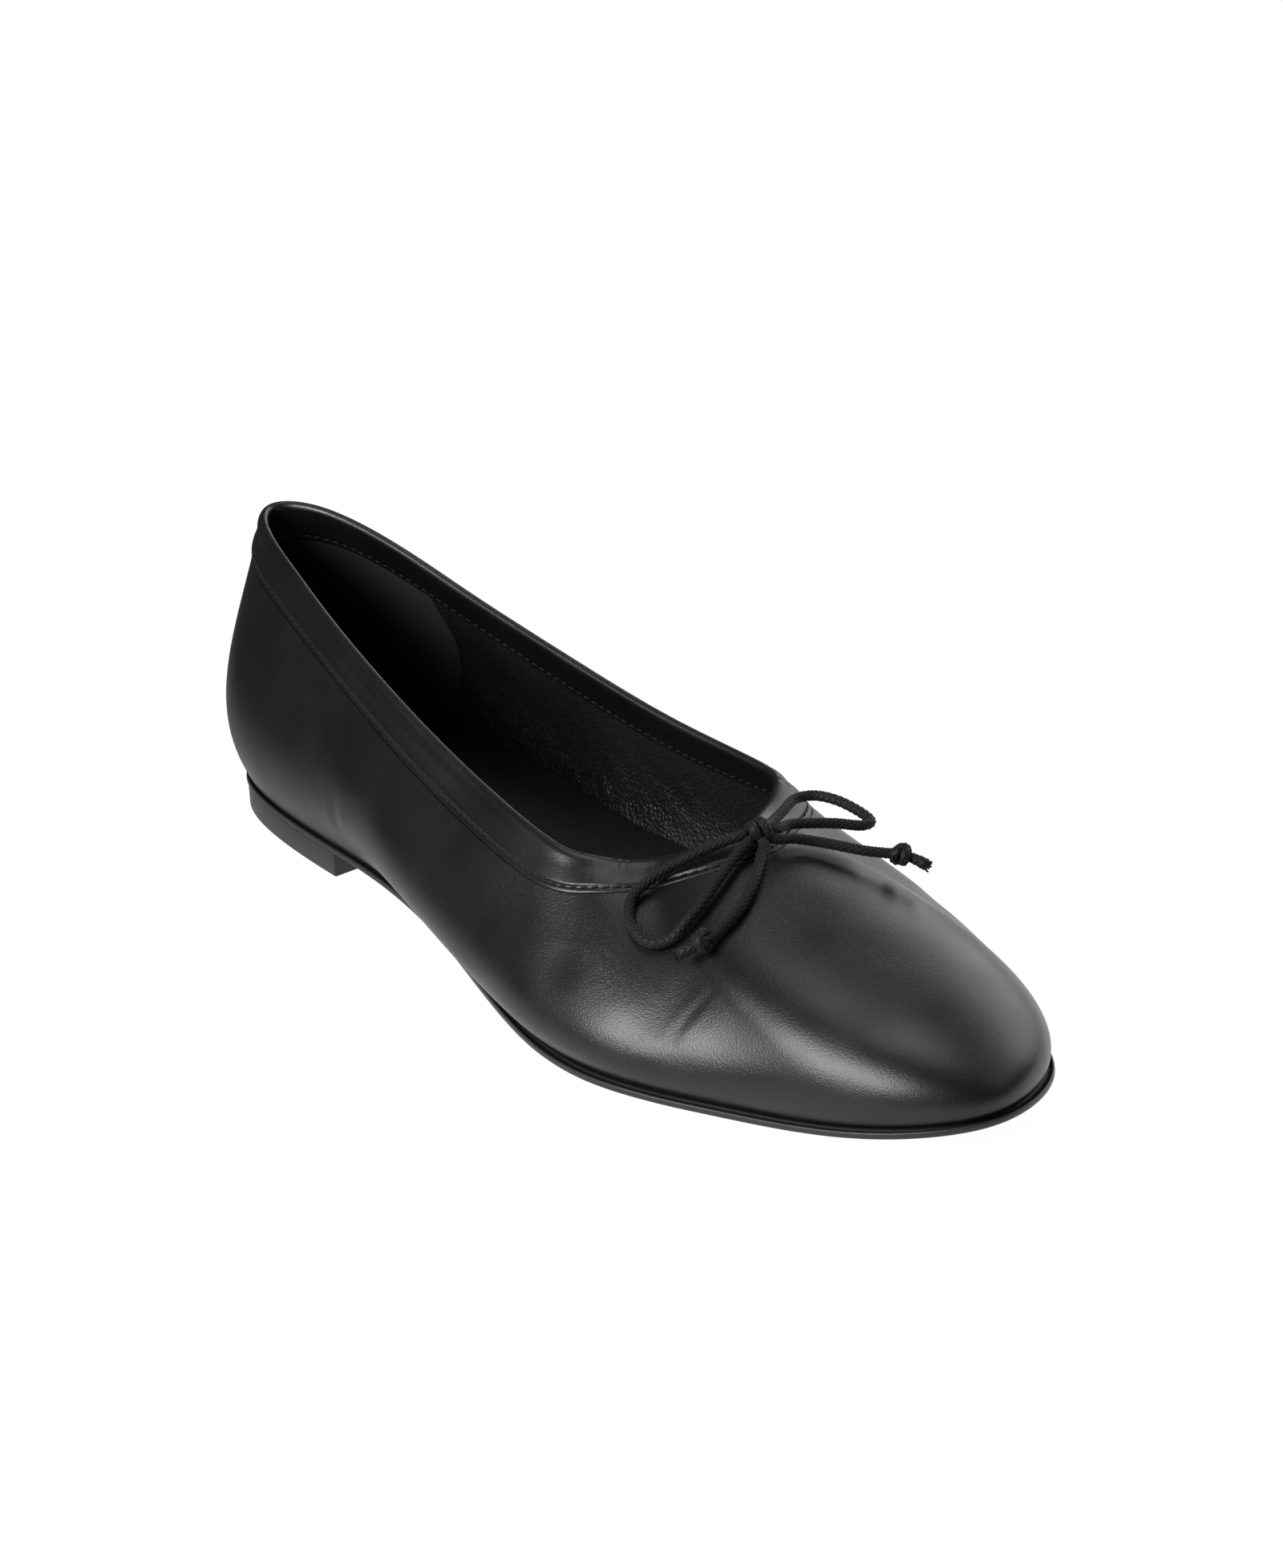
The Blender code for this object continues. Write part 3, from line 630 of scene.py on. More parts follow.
def makeTip(name, node, place, way, s, chance):
    centre, way = Vector(place) * mm, Vector(way).normalized()
    mesh = bmesh.new()
    turned = way.to_track_quat("Z", "Y").to_matrix()
    angles = np.linspace(0, math.tau, s["tipTurnSteps"], endpoint=False)
    for lift, radius, tilt, thick in s["tipTurns"]:
        ring = []
        for a in angles:
            local = Vector((math.cos(a), math.sin(a), 0)) * radius * s["diameter"]
            local.z = tilt * local.x + lift * s["diameter"]
            ring.append(centre + turned @ local)
        braidAlong(mesh, np.array(ring), s, radius=s["diameter"] / 2 * thick, closed=True)
    side = turned @ Vector((1, 0, 0))
    start = centre - way * s["tailStart"] * s["diameter"]
    reach = s["tail"] + s["tailStart"] * s["diameter"] - s["tailShort"]
    tail = [np.array(start + way * t * reach + side * s["tailCurve"] * math.sin(s["tailBend"] * t))
            for t in np.linspace(0, 1, s["tailSteps"])]
    braidAlong(mesh, np.array(tail), s, radius=s["tailThick"] * s["diameter"], flare=s["flare"])
    # loose yarn ends where the cord was cut
    for _ in range(s["yarnEnds"]):
        angle = chance.uniform(0, math.tau)
        out = chance.uniform(*s["yarnSpread"]) * mm
        x, y = math.cos(angle), math.sin(angle)
        foot = Vector(tail[-1]) + turned @ Vector((x * out, y * out, -s["yarnRoot"]))
        lean = turned @ Vector((x * s["yarnSplay"], y * s["yarnSplay"], 1)).normalized()
        length = chance.uniform(*s["yarnLength"]) * mm
        aim = lean.to_track_quat("Z", "Y").to_matrix().to_4x4()
        bmesh.ops.create_cone(mesh, cap_ends=True, segments=5, depth=length,
                              radius1=s["yarnThick"][0], radius2=s["yarnThick"][1],
                              matrix=Matrix.Translation(foot + lean * length / 2) @ aim)
    tip = finishPiece(name, mesh, [waxedCotton], sharp=80)
    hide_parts(node)
    return tip


def makeBow(s):
    made = makeCords(s)
    knot = makeKnot(s)
    chance = np.random.default_rng(7)
    for name, (node, cord, place, way) in s["tips"].items():
        made[cord] += (makeTip(name, node, place, way, s, chance),)
    for piece, path, length, *tips in made.values():
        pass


makeBow(bow)
print("bow tied")


# Leather, thread and edge finishes. Each leather is this dictionary with its own changes.
leather = dict(
    colours=("#070708", "#0e0e0f"),    # in the pores, and worn paler on the grain
    pebble=0.45 * mm,        # a lambskin's real grain is near 0.3 mm and would not show
    pebbleSlope=(0.1, 0.7),  # a pebble's back falls from here to here, in cells from its middle
    wrinkle=0.55 * mm,       # width of the fine wrinkles, about twice as long
    wrinkleFlank=0.30,       # in cells
    wrinkled=(0.3, 0.9),     # their share against round pebbles, from zone to zone
    wrinkleTurn=(0.2, 0.1, -0.64),    # the skin's line, in radians
    wrinkleStretch=(2.1, 1.0, 1.0),
    fine=0.26 * mm,          # finest unevenness of the finish
    fineShare=0.55,
    patch=16 * mm,           # zones where the skin wrinkles more or less
    patchSpan=(0.35, 0.65),  # values of the noise from the one to the other
    drift=(3 * mm, 0.0011),  # the pattern is pushed about: over what length, and how far
    tight=(-0.205, -0.15, 0.65),    # drawn over the toe: from and to along Y, height left
    depth=0.023 * mm,
    roughness=(0.32, 0.40),
)


def makeNappa(name, **changes):
    # Aniline-dyed nappa: a thin clear finish over soft black skin, so broad soft lights
    # run over it and break up in a fine wrinkled grain.
    s = dict(leather, **changes)
    material, tree, shader, place = newMaterial(name)
    drift = addNode(tree, "ShaderNodeTexNoise", links={"Vector": place},
                    values={"Scale": 1 / s["drift"][0], "Detail": 2.0}).outputs["Color"]
    pushed = addNode(tree, "ShaderNodeVectorMath", settings={"operation": "MULTIPLY_ADD"},
                     links={0: drift, 2: place}, values={1: (s["drift"][1],) * 3}).outputs["Vector"]
    # long cells of fine wrinkles, drawn out along one line of the skin
    lay = addNode(tree, "ShaderNodeMapping", settings={"vector_type": "TEXTURE"},
                  links={"Vector": pushed},
                  values={"Rotation": s["wrinkleTurn"], "Scale": s["wrinkleStretch"]}).outputs["Vector"]
    wrinkle = addNode(tree, "ShaderNodeTexVoronoi", settings={"feature": "DISTANCE_TO_EDGE"},
                      links={"Vector": lay}, values={"Scale": 1 / s["wrinkle"]}).outputs["Distance"]
    folds = addNode(tree, "ShaderNodeMapRange", settings={"interpolation_type": "SMOOTHSTEP"},
                    links={"Value": wrinkle}, values={"From Max": s["wrinkleFlank"]}).outputs["Result"]
    # round cells between the pores
    pebble = addNode(tree, "ShaderNodeTexVoronoi", settings={"feature": "SMOOTH_F1"},
                     links={"Vector": pushed},
                     values={"Scale": 1 / s["pebble"], "Smoothness": 0.4}).outputs["Distance"]
    pores = addNode(tree, "ShaderNodeMapRange", links={"Value": pebble},
                    values={"From Min": s["pebbleSlope"][0], "From Max": s["pebbleSlope"][1],
                            "To Min": 1.0, "To Max": 0.0}).outputs["Result"]
    zone = addNode(tree, "ShaderNodeTexNoise", links={"Vector": place},
                   values={"Scale": 1 / s["patch"], "Detail": 1.0}).outputs["Fac"]
    share = addNode(tree, "ShaderNodeMapRange", links={"Value": zone},
                    values={"From Min": s["patchSpan"][0], "From Max": s["patchSpan"][1],
                            "To Min": s["wrinkled"][0], "To Max": s["wrinkled"][1]}).outputs["Result"]
    grain = addNode(tree, "ShaderNodeMix", settings={"data_type": "FLOAT"},
                    links={"Factor": share, "A": pores, "B": folds}).outputs["Result"]
    fine = addNode(tree, "ShaderNodeTexNoise", links={"Vector": place},
                   values={"Scale": 1 / s["fine"], "Detail": 2.0, "Roughness": 0.6}).outputs["Fac"]
    rough = addNode(tree, "ShaderNodeMath", settings={"operation": "MULTIPLY_ADD"},
                    links={0: fine, 2: grain}, values={1: s["fineShare"]}).outputs["Value"]
    # the grain is flatter where the skin is drawn tight
    toeward = addNode(tree, "ShaderNodeSeparateXYZ", links={"Vector": place}).outputs["Y"]
    tight = addNode(tree, "ShaderNodeMapRange", settings={"interpolation_type": "SMOOTHSTEP"},
                    links={"Value": toeward},
                    values={"From Min": s["tight"][0], "From Max": s["tight"][1],
                            "To Min": s["tight"][2], "To Max": 1.0}).outputs["Result"]
    height = addNode(tree, "ShaderNodeMath", settings={"operation": "MULTIPLY"},
                     links={0: rough, 1: tight}).outputs["Value"]
    dressShader(tree, shader, s["colours"], grain, (height, 1.0, s["depth"]), (zone, s["roughness"]),
                {"Specular IOR Level": 0.5})
    return material


nappa = makeNappa("blackNappaLeather")
casingNappa = makeNappa("foldedNappaStrip", depth=0.016 * mm, roughness=(0.31, 0.39))
liningLeather = makeNappa("crushedLiningLeather", pebble=0.80 * mm, wrinkle=0.95 * mm,
                          wrinkled=(0.0, 0.25), depth=0.19 * mm, roughness=(0.36, 0.46),
                          colours=("#141415", "#1f1f20"))
sockLeather = makeNappa("sockLeather", depth=0.05 * mm, roughness=(0.5, 0.58),
                        colours=("#101011", "#171718"))


suedeFinish = dict(
    colours=("#191919", "#2e2e2e"),
    nap=0.35 * mm,
    napDepth=0.1 * mm,
    brushed=9 * mm,          # patches where the pile lies one way
    roughness=0.95,
    specular=0.2,
    sheen=0.05,
)


def makeSuede(s):
    # Split suede: a brushed nap with no shine, darker where the pile lies away.
    material, tree, shader, place = newMaterial("heelSuede")
    nap = addNode(tree, "ShaderNodeTexNoise", links={"Vector": place},
                  values={"Scale": 1 / s["nap"], "Detail": 4.0, "Roughness": 0.7}).outputs["Fac"]
    brush = addNode(tree, "ShaderNodeTexNoise", links={"Vector": place},
                    values={"Scale": 1 / s["brushed"], "Detail": 2.0}).outputs["Fac"]
    both = addNode(tree, "ShaderNodeMath", settings={"operation": "MULTIPLY"},
                   links={0: nap, 1: brush}).outputs["Value"]
    dressShader(tree, shader, s["colours"], both, (nap, 0.8, s["napDepth"]), same={
        "Roughness": s["roughness"], "Specular IOR Level": s["specular"],
        "Sheen Weight": s["sheen"], "Sheen Roughness": 0.4,
    })
    return material


edgeFinish = dict(
    speck=0.4 * mm,
    trimDepth=0.03 * mm,
    trimStretch=9.0,         # streaks run this many times longer along the edge than up it
)


def makeEdgeInk(name, colours, roughness, streak, s):
    # Cut edge under black ink or paint: satin, with faint streaks from trimming along it.
    material, tree, shader, place = newMaterial(name)
    lay = addNode(tree, "ShaderNodeMapping", links={"Vector": place},
                  values={"Scale": (1.0, 1.0, s["trimStretch"])}).outputs["Vector"]
    trim = addNode(tree, "ShaderNodeTexNoise", links={"Vector": lay},
                   values={"Scale": 1 / streak, "Detail": 3.0, "Roughness": 0.6}).outputs["Fac"]
    speck = addNode(tree, "ShaderNodeTexNoise", links={"Vector": place},
                    values={"Scale": 1 / s["speck"], "Detail": 2.0}).outputs["Fac"]
    dressShader(tree, shader, colours, trim, (trim, 0.7, s["trimDepth"]), (speck, roughness))
    return material


threadFinish = dict(
    colours=("#1c1c1e", "#2c2c2f"),
    ply=0.2 * mm,
    roughness=0.78,
    specular=0.14,
)


def makeThread(s):
    # Spun polyester thread: matt black, so stitches look paler than leather in the dark
    # and darker than leather in a highlight.
    material, tree, shader, place = newMaterial("polyesterThread")
    ply = addNode(tree, "ShaderNodeTexNoise", links={"Vector": place},
                  values={"Scale": 1 / s["ply"], "Detail": 1.0}).outputs["Fac"]
    dressShader(tree, shader, s["colours"], ply,
                same={"Roughness": s["roughness"], "Specular IOR Level": s["specular"]})
    return material


suede = makeSuede(suedeFinish)
# each with its colours, roughness from and to, and the length of its streaks
edgeInk = makeEdgeInk("inkedSoleEdge", ("#111112", "#1c1c1e"), (0.40, 0.52), 1.2 * mm, edgeFinish)
soleRubber = makeEdgeInk("microcellularSoleRubber", ("#202022", "#2a2a2c"), (0.6, 0.75), 2.0 * mm,
                         edgeFinish)
heelPaint = makeEdgeInk("paintedFibreHeel", ("#171718", "#212123"), (0.38, 0.48), 2.4 * mm,
                        edgeFinish)
thread = makeThread(threadFinish)
print("finishes mixed")


# The upper: one wall, nappa outside and lining leather inside.
upper = dict(
    around=460,
    lowestRows=(0.0, 0.008, 0.018, 0.032),    # close rows where the wall turns in
    outerRows=64,
    underRows=4,             # under the casing
    innerRows=40,
    wall=1.5 * mm,
    casingEdge=9.5 * mm,
    pared=0.6 * mm,          # steps in this far under the casing
    rimRadius=2.0 * mm,
    # how the lower edge turns in and down into the sole's groove, in mm
    turnedIn=[(0.75, 1.3), (0.42, 0.95), (0.16, 0.5)],
    liningRipple=0.16 * mm,  # the crushed lining's long soft ripples
    rippleLength=5 * mm,
    rippleStart=0.4,
    rippleFade=4,            # they fade out over one part in this many, towards the rim
    liningCrease=0.8,        # share of a crease's depth that reaches the lining
)


def rippled(places, length, start):
    # smooth unevenness from a few fixed waves
    x, y, z = (places[..., i] / length for i in range(3))
    return (np.sin(1.7 * x + 2.3 * y + 1.1 * z + start) * np.sin(2.9 * y - 1.3 * z + 2.1 * start)
            + 0.6 * np.sin(3.1 * x - 2.2 * y + 4.3 * z + 0.7 * start)) / 1.6


def makeUpper(s):
    surface = LastSurface(s["around"])
    edge = surface.belowRim(s["casingEdge"])
    top = surface.belowRim(s["rimRadius"])
    rows, kinds = [], []

    def addRow(share, out, kind, ripple=0.0):
        # kind 0 is nappa, 1 is lining
        places = surface.skin(share, out)
        world = toWorld(places)
        push = creaseDepth(world) * (1.0 if kind == 0 else s["liningCrease"])
        if ripple:
            push = push + ripple * rippled(world, s["rippleLength"], s["rippleStart"])
        rows.append(places - surface.normals(share) * push[:, None])
        kinds.append(kind)

    *lowest, above = s["lowestRows"]
    for share in np.concatenate([lowest, np.linspace(above, 1, s["outerRows"])]):
        addRow(edge * share, 0.0, 0)
    for share in np.linspace(0, 1, s["underRows"]):
        addRow(edge + (top - edge) * share, -s["pared"], 0)
    for share in np.linspace(1, 0, s["innerRows"]):
        ripple = s["liningRipple"] * min(1, (1 - share) * s["rippleFade"])
        addRow(top * share, -s["wall"], 1, ripple)
    foot = rows[-1].copy()
    foot[:, 2] = surface.control[0][:, 2]
    rows.append(foot)
    kinds.append(1)
    for inward, down in s["turnedIn"]:
        turned = rows[0].copy()
        turned[:, :2] -= outwardOf(surface.plan) * inward * mm
        turned[:, 2] -= down * mm
        rows.append(turned)
        kinds.append(0)
    mesh = bmesh.new()
    layGrid(mesh, toWorld(np.array(rows)), wrapAcross=True, wrapDown=True, rowMaterial=kinds)
    bmesh.ops.remove_doubles(mesh, verts=mesh.verts, dist=1e-6)
    piece = finishPiece("upperNappa", mesh, [nappa, liningLeather], sharp=50)
    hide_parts("upper")


makeUpper(upper)
print("upper lasted")


# The casing: a strip folded over the rim, with the drawstring running in its fold.
casing = dict(
    around=560,
    # the strip's section in mm: how far below the rim, and how far out of the surface
    section=[
        (8.9, -0.40), (9.2, -0.32), (9.28, -0.12), (9.2, 0.03), (8.92, 0.13), (8.5, 0.16),
        (8.05, 0.09), (7.6, 0.42), (7.1, 0.58), (6.2, 0.62), (5.2, 0.54), (4.3, 0.38), (3.6, 0.30),
        (2.9, 0.36), (2.2, 0.48), (1.5, 0.48), (0.95, 0.36), (0.5, 0.14), (0.16, -0.18),
        (0.0, -0.6), (0.06, -0.98), (0.28, -1.34), (0.65, -1.62), (1.15, -1.8), (1.8, -1.9),
        (2.6, -1.96), (3.6, -1.98), (5.0, -1.98), (6.4, -2.04), (7.4, -2.10), (8.0, -1.96),
        (8.5, -2.10), (8.95, -2.08), (9.25, -1.9), (9.2, -1.66), (8.9, -1.58), (5.5, -1.56),
        (3.0, -1.56), (2.2, -1.54), (1.6, -1.42), (1.3, -1.0), (1.6, -0.6), (2.2, -0.46),
        (3.0, -0.44), (5.5, -0.42),
    ],
    finer=3,                 # rows between the section's points
    foldAt=-0.6,             # the strip's two sides lie on either side of this, out of the surface
    foldFree=0.7,            # gathers fade out towards the fold from this far
    innerShare=-0.6,         # gathers show less inside, and the other way round
    # gathers where the string pulls the strip: middle and reach along the rim, spacing, depth
    gathers=[
        (184, 20, 2.2, 0.07), (219, 9, 3.0, 0.13), (160, 10, 2.4, 0.05),
        (262, 30, 6.2, 0.03), (92, 34, 7.1, 0.02),
    ],
    gatherFade=0.6,          # they fade over this share of their reach
    gatherUneven=(0.35, 0.9),    # shifted by this share of the spacing, and how often
    gatherSlant=0.35,
    gatherDown=(3.2, 4.2),   # they are deepest this far below the rim, and their reach
    # beside the throat the strip is drawn flat between rim and stitches: middle, reach, share
    drawnFlat=[(157, 32, 0.85), (250, 32, 0.85)],
    flatOut=0.52,
    flatOver=0.2,            # only rows that stand out further than this
    flatRows=(1.5, 7.5),
    jointAt=11.8,            # the strip's two ends overlap here, behind the heel
    jointOver=(0.11, 9),     # the end on top stands this proud, and levels out over this length
    jointStep=0.6,           # it rises over this length
    jointGroove=(0.16, 0.5),    # depth and width of the groove beside it
    jointNotch=(1.5, 2.0),   # the groove's extra depth at the rim, and how far down that reaches
    creaseShare=0.5,         # of a crease's depth that shows in the strip
)


def gathered(along, down, s):
    # how far gathers and joint push a row of the strip out, in mm
    push = np.zeros(len(along))
    for middle, reach, spacing, depth in s["gathers"]:
        window = bell(along - middle, reach * s["gatherFade"])
        shift, often = s["gatherUneven"]
        shifted = along + shift * spacing * np.sin(along * often)
        wave = np.sin(math.tau * shifted / spacing + s["gatherSlant"] * down)
        push += depth * window * wave * bell(down - s["gatherDown"][0], s["gatherDown"][1])
    past = along - s["jointAt"]
    groove, width = s["jointGroove"]
    notch, downTo = s["jointNotch"]
    trough = bell(past, width) * (1 + notch * bell(down, downTo))
    proud, length = s["jointOver"]
    over = proud * np.clip(1 - past / length, 0, 1) * smoothStep(past / s["jointStep"])
    return push + over - groove * trough


def makeCasing(s):
    surface = LastSurface(s["around"])
    along = surface.rimRun[:-1] / mm
    corners = np.array(s["section"])
    knots = runAlong(closeLoop(corners))
    at = np.concatenate([np.linspace(a, b, s["finer"], endpoint=False)
                         for a, b in zip(knots, knots[1:])])
    rows = []
    for down, out in closedSpline(knots, corners, at):
        share = surface.belowRim(max(down, 0.0) * mm)
        fromFold = out - s["foldAt"]
        puff = gathered(along, down, s) * (1 if fromFold > 0 else s["innerShare"])
        puff = puff * min(1, abs(fromFold) / s["foldFree"])
        if out > s["flatOver"] and s["flatRows"][0] < down < s["flatRows"][1]:
            for middle, reach, flat in s["drawnFlat"]:
                puff = puff + flat * (s["flatOut"] - out) * bell(along - middle, reach)
        world = toWorld(surface.points(share))
        places = surface.skin(share, (out + puff) * mm)
        places[:, 2] -= min(down, 0.0) * mm
        rows.append(places - surface.normals(share) * (s["creaseShare"] * creaseDepth(world))[:, None])
    mesh = bmesh.new()
    layGrid(mesh, toWorld(np.array(rows)), wrapAcross=True, wrapDown=True)
    bmesh.ops.remove_doubles(mesh, verts=mesh.verts, dist=1e-7)
    piece = finishPiece("toplineCasing", mesh, [casingNappa], sharp=70)
    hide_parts("topline_casing")


makeCasing(casing)
print("casing folded")


# The stitch rows that close the casing, outside and inside.
stitching = dict(
    around=900,
    pitch=2.3 * mm,
    length=1.7 * mm,
    width=0.38 * mm,
    flat=0.8,                # height of a stitch in widths
    # each row's place in mm, below the rim and out of the surface
    rows=dict(casingStitchesOutside=(8.05, 0.22), casingStitchesInside=(8.0, -2.02)),
    slant=0.16,
    lookAhead=0.4 * mm,      # how far along the row a stitch takes its way from
)


def makeStitches(s):
    surface = LastSurface(s["around"])
    for name, (down, out) in s["rows"].items():
        share = surface.belowRim(down * mm)
        line = toWorld(surface.skin(share, out * mm))
        normal = surface.normals(share) * (1 if out > 0 else -1)
        normal[:, 1] *= -1
        ends = closeLoop(line)
        run = runAlong(ends)
        count = round(run[-1] / s["pitch"])
        mesh = bmesh.new()
        for i in range(count):
            at = run[-1] * i / count
            here = Vector([np.interp(at, run, ends[:, k]) for k in range(3)])
            onward = (at + s["lookAhead"]) % run[-1]
            ahead = Vector([np.interp(onward, run, ends[:, k]) for k in range(3)])
            column = int(np.searchsorted(run, at)) % len(line)
            up = Vector(normal[column])
            way = (ahead - here).normalized()
            side = up.cross(way).normalized()
            way = (way + side * s["slant"]).normalized()
            side = up.cross(way).normalized()
            turned = Matrix((way, side, way.cross(side))).transposed().to_4x4()
            size = Matrix.Diagonal((s["length"] / 2, s["width"] / 2, s["width"] / 2 * s["flat"], 1))
            placed = Matrix.Translation(here) @ turned @ size
            bmesh.ops.create_uvsphere(mesh, u_segments=6, v_segments=6, radius=1,
                                      matrix=placed @ Matrix.Rotation(math.pi / 2, 4, "Y"))
        finishPiece(name, mesh, [thread], sharp=80)


makeStitches(stitching)
print("casing stitched")


# Slabs that lie across the foot: the sock and the sole.

def pairedRows(ring, steps, heightOf, up):
    # rows across a slab's face, from its medial to its lateral edge
    half = len(ring) // 2
    medial = ring[:half + 1]
    lateral = np.roll(ring, -1, axis=0)[::-1][:half + 1]
    t = np.linspace(0, 1, steps + 1)[None, :, None]
    rows = medial[:, None, :2] * (1 - t) + lateral[:, None, :2] * t
    height = heightOf(rows[..., 1]) + up
    return np.concatenate([rows, height[..., None]], axis=2)


def makeSlab(mesh, plan, profile, steps, heightOf, kinds=None):
    # profile runs from the underside's first ring over the edge to the top's, as (inset, up)
    rings = []
    for inset, up in profile:
        ring = plan - outwardOf(plan) * inset
        rings.append(np.column_stack([ring, heightOf(ring[:, 1]) + up]))
    layGrid(mesh, toWorld(np.array(rings)), wrapAcross=True, rowMaterial=kinds)
    for ring, (inset, up), kind in ((rings[0], profile[0], 0), (rings[-1], profile[-1], -1)):
        rows = pairedRows(ring, steps, heightOf, up)
        material = None if kinds is None else [kinds[kind]] * (len(rows) - 1)
        layGrid(mesh, toWorld(rows), rowMaterial=material)
    bmesh.ops.remove_doubles(mesh, verts=mesh.verts, dist=2e-6)
    bmesh.ops.dissolve_degenerate(mesh, edges=mesh.edges, dist=1e-7)


sock = dict(
    around=240,
    across=26,
    clearance=0.3 * mm,
    thick=2.0 * mm,
    # the edge in mm: inset and height over the underside, then inset and depth under the top
    lowerEdge=[(1.0, 0.0), (0.1, 0.0), (0.0, 0.3)],
    upperEdge=[(0.0, 0.5), (0.15, 0.15), (0.5, 0.0), (1.2, 0.0)],
)


def wallInsideAt(surface, up, wall):
    # the lining's outline in plan at a height above its foot
    reach, steps = 0.35, 30    # only the lowest part of the wall is searched
    loops = np.array([surface.skin(share, -wall) for share in np.linspace(0, reach, steps)])
    height = loops[:, :, 2] - surface.control[0][:, 2]
    return np.array([[np.interp(up, height[:, i], loops[:, i, axis]) for axis in (0, 1)]
                     for i in range(surface.count)])


def makeSock(s):
    surface = LastSurface(s["around"])
    foot = wallInsideAt(surface, 0, upper["wall"])
    room = ((wallInsideAt(surface, s["thick"], upper["wall"]) - foot) * outwardOf(foot)).sum(axis=1)
    plan = foot + outwardOf(foot) * (np.minimum(room, 0)[:, None] - s["clearance"])
    base = last["soleThick"] + last["clearance"]
    profile = [(inset * mm, base + up * mm) for inset, up in s["lowerEdge"]]
    profile += [(inset * mm, base + s["thick"] - down * mm) for inset, down in s["upperEdge"]]
    mesh = bmesh.new()
    makeSlab(mesh, plan, profile, s["across"], soleUnderside)
    piece = finishPiece("insoleSock", mesh, [sockLeather])
    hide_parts("insole")


makeSock(sock)


outsole = dict(
    around=420,
    across=24,
    frontMargin=1.2 * mm,
    heelMargin=0.4 * mm,
    # the edge in mm: inset and height, from under the sole up and over to the welt
    profile=[
        (3.0, 0.0), (1.0, 0.0), (0.35, 0.03), (0.10, 0.16), (0.0, 0.4), (-0.02, 0.8), (0.0, 1.1),
        (0.06, 1.36), (0.18, 1.48), (0.36, 1.50), (0.52, 1.40), (0.68, 1.12), (0.95, 0.9),
        (1.7, 0.9), (2.3, 1.15), (2.75, 2.38), (3.4, 2.4),
    ],
)


def makeOutsole(s):
    surface = LastSurface(s["around"])
    share = surface.plan[:, 1] / last["length"]
    ahead = smoothStep((share - last["breastAt"]) / (last["treadFrom"] - last["breastAt"]))
    margin = s["heelMargin"] + (s["frontMargin"] - s["heelMargin"]) * ahead
    plan = surface.plan + outwardOf(surface.plan) * margin[:, None]
    profile = [(inset * mm, up * mm) for inset, up in s["profile"]]
    kinds = [1] + [0] * (len(profile) - 2) + [1]    # rubber faces, inked edge
    mesh = bmesh.new()
    makeSlab(mesh, plan, profile, s["across"], soleUnderside, kinds)
    piece = finishPiece("outsoleInked", mesh, [edgeInk, soleRubber], sharp=60)
    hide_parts("outsole")
    return plan


soleEdge = makeOutsole(outsole)
print("sole and sock cut")


heel = dict(
    inset=0.3 * mm,
    clearance=0.05 * mm,     # under the sole
    cornerGap=0.4 * mm,      # no point of the outline is nearer to the front corners
    softEdge=0.35 * mm,
    softFrom=0.6,            # edges that turn by more radians than this are softened
)


def makeHeel(s, edge):
    plan = edge - outwardOf(edge) * s["inset"]
    half = len(plan) // 2
    breast = last["breastAt"] * last["length"]
    sides = [plan[:half + 1], np.roll(plan, -1, axis=0)[::-1][:half + 1]]
    medialCorner, lateralCorner = [[np.interp(breast, side[:, 1], side[:, 0]), breast] for side in sides]
    medial, lateral = [side[side[:, 1] < breast - s["cornerGap"]] for side in sides]
    outline = np.vstack([lateralCorner, lateral[::-1], medial[1:], medialCorner])
    outline = toWorld(np.column_stack([outline, np.zeros(len(outline))]))
    mesh = bmesh.new()
    face = mesh.faces.new([mesh.verts.new(place) for place in outline])
    raised = bmesh.ops.extrude_face_region(mesh, geom=[face])["geom"]
    corners = [item for item in raised if isinstance(item, bmesh.types.BMVert)]
    bmesh.ops.translate(mesh, verts=corners, vec=(0, 0, last["heelRise"] - s["clearance"]))
    bmesh.ops.recalc_face_normals(mesh, faces=mesh.faces)
    sharpEdges = [line for line in mesh.edges if line.calc_face_angle(0) > s["softFrom"]]
    bmesh.ops.bevel(mesh, geom=sharpEdges, offset=s["softEdge"], segments=3, profile=0.5,
                    affect="EDGES", material=-1)
    piece = finishPiece("heelBlockPainted", mesh, [heelPaint], sharp=30)
    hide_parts("heel_block")


makeHeel(heel, soleEdge)
print("heel set")


# The suede patch inside the back of the heel.
grip = dict(
    around=720,
    columns=90,
    rows=30,
    top=7.5 * mm,            # below the rim, under the casing's inner edge
    foot=0.03,               # share of the wall's height where it starts
    # share of the wall's height and how far round the rim the front edge lies, in mm
    frontEdge=[
        (0.02, 30.5), (0.218, 32.8), (0.336, 34.3), (0.479, 36.8), (0.622, 38.7), (0.739, 39.2),
        (0.95, 39.7),
    ],
    edgeTop=0.9,             # the patch's top in those shares
    off=0.10 * mm,           # clear of the lining
    thick=0.28 * mm,
    intoWall=0.25 * mm,      # a second loop this deep in the wall gives the way inwards
    pared=24,                # the higher, the later the front edge is pared away
)


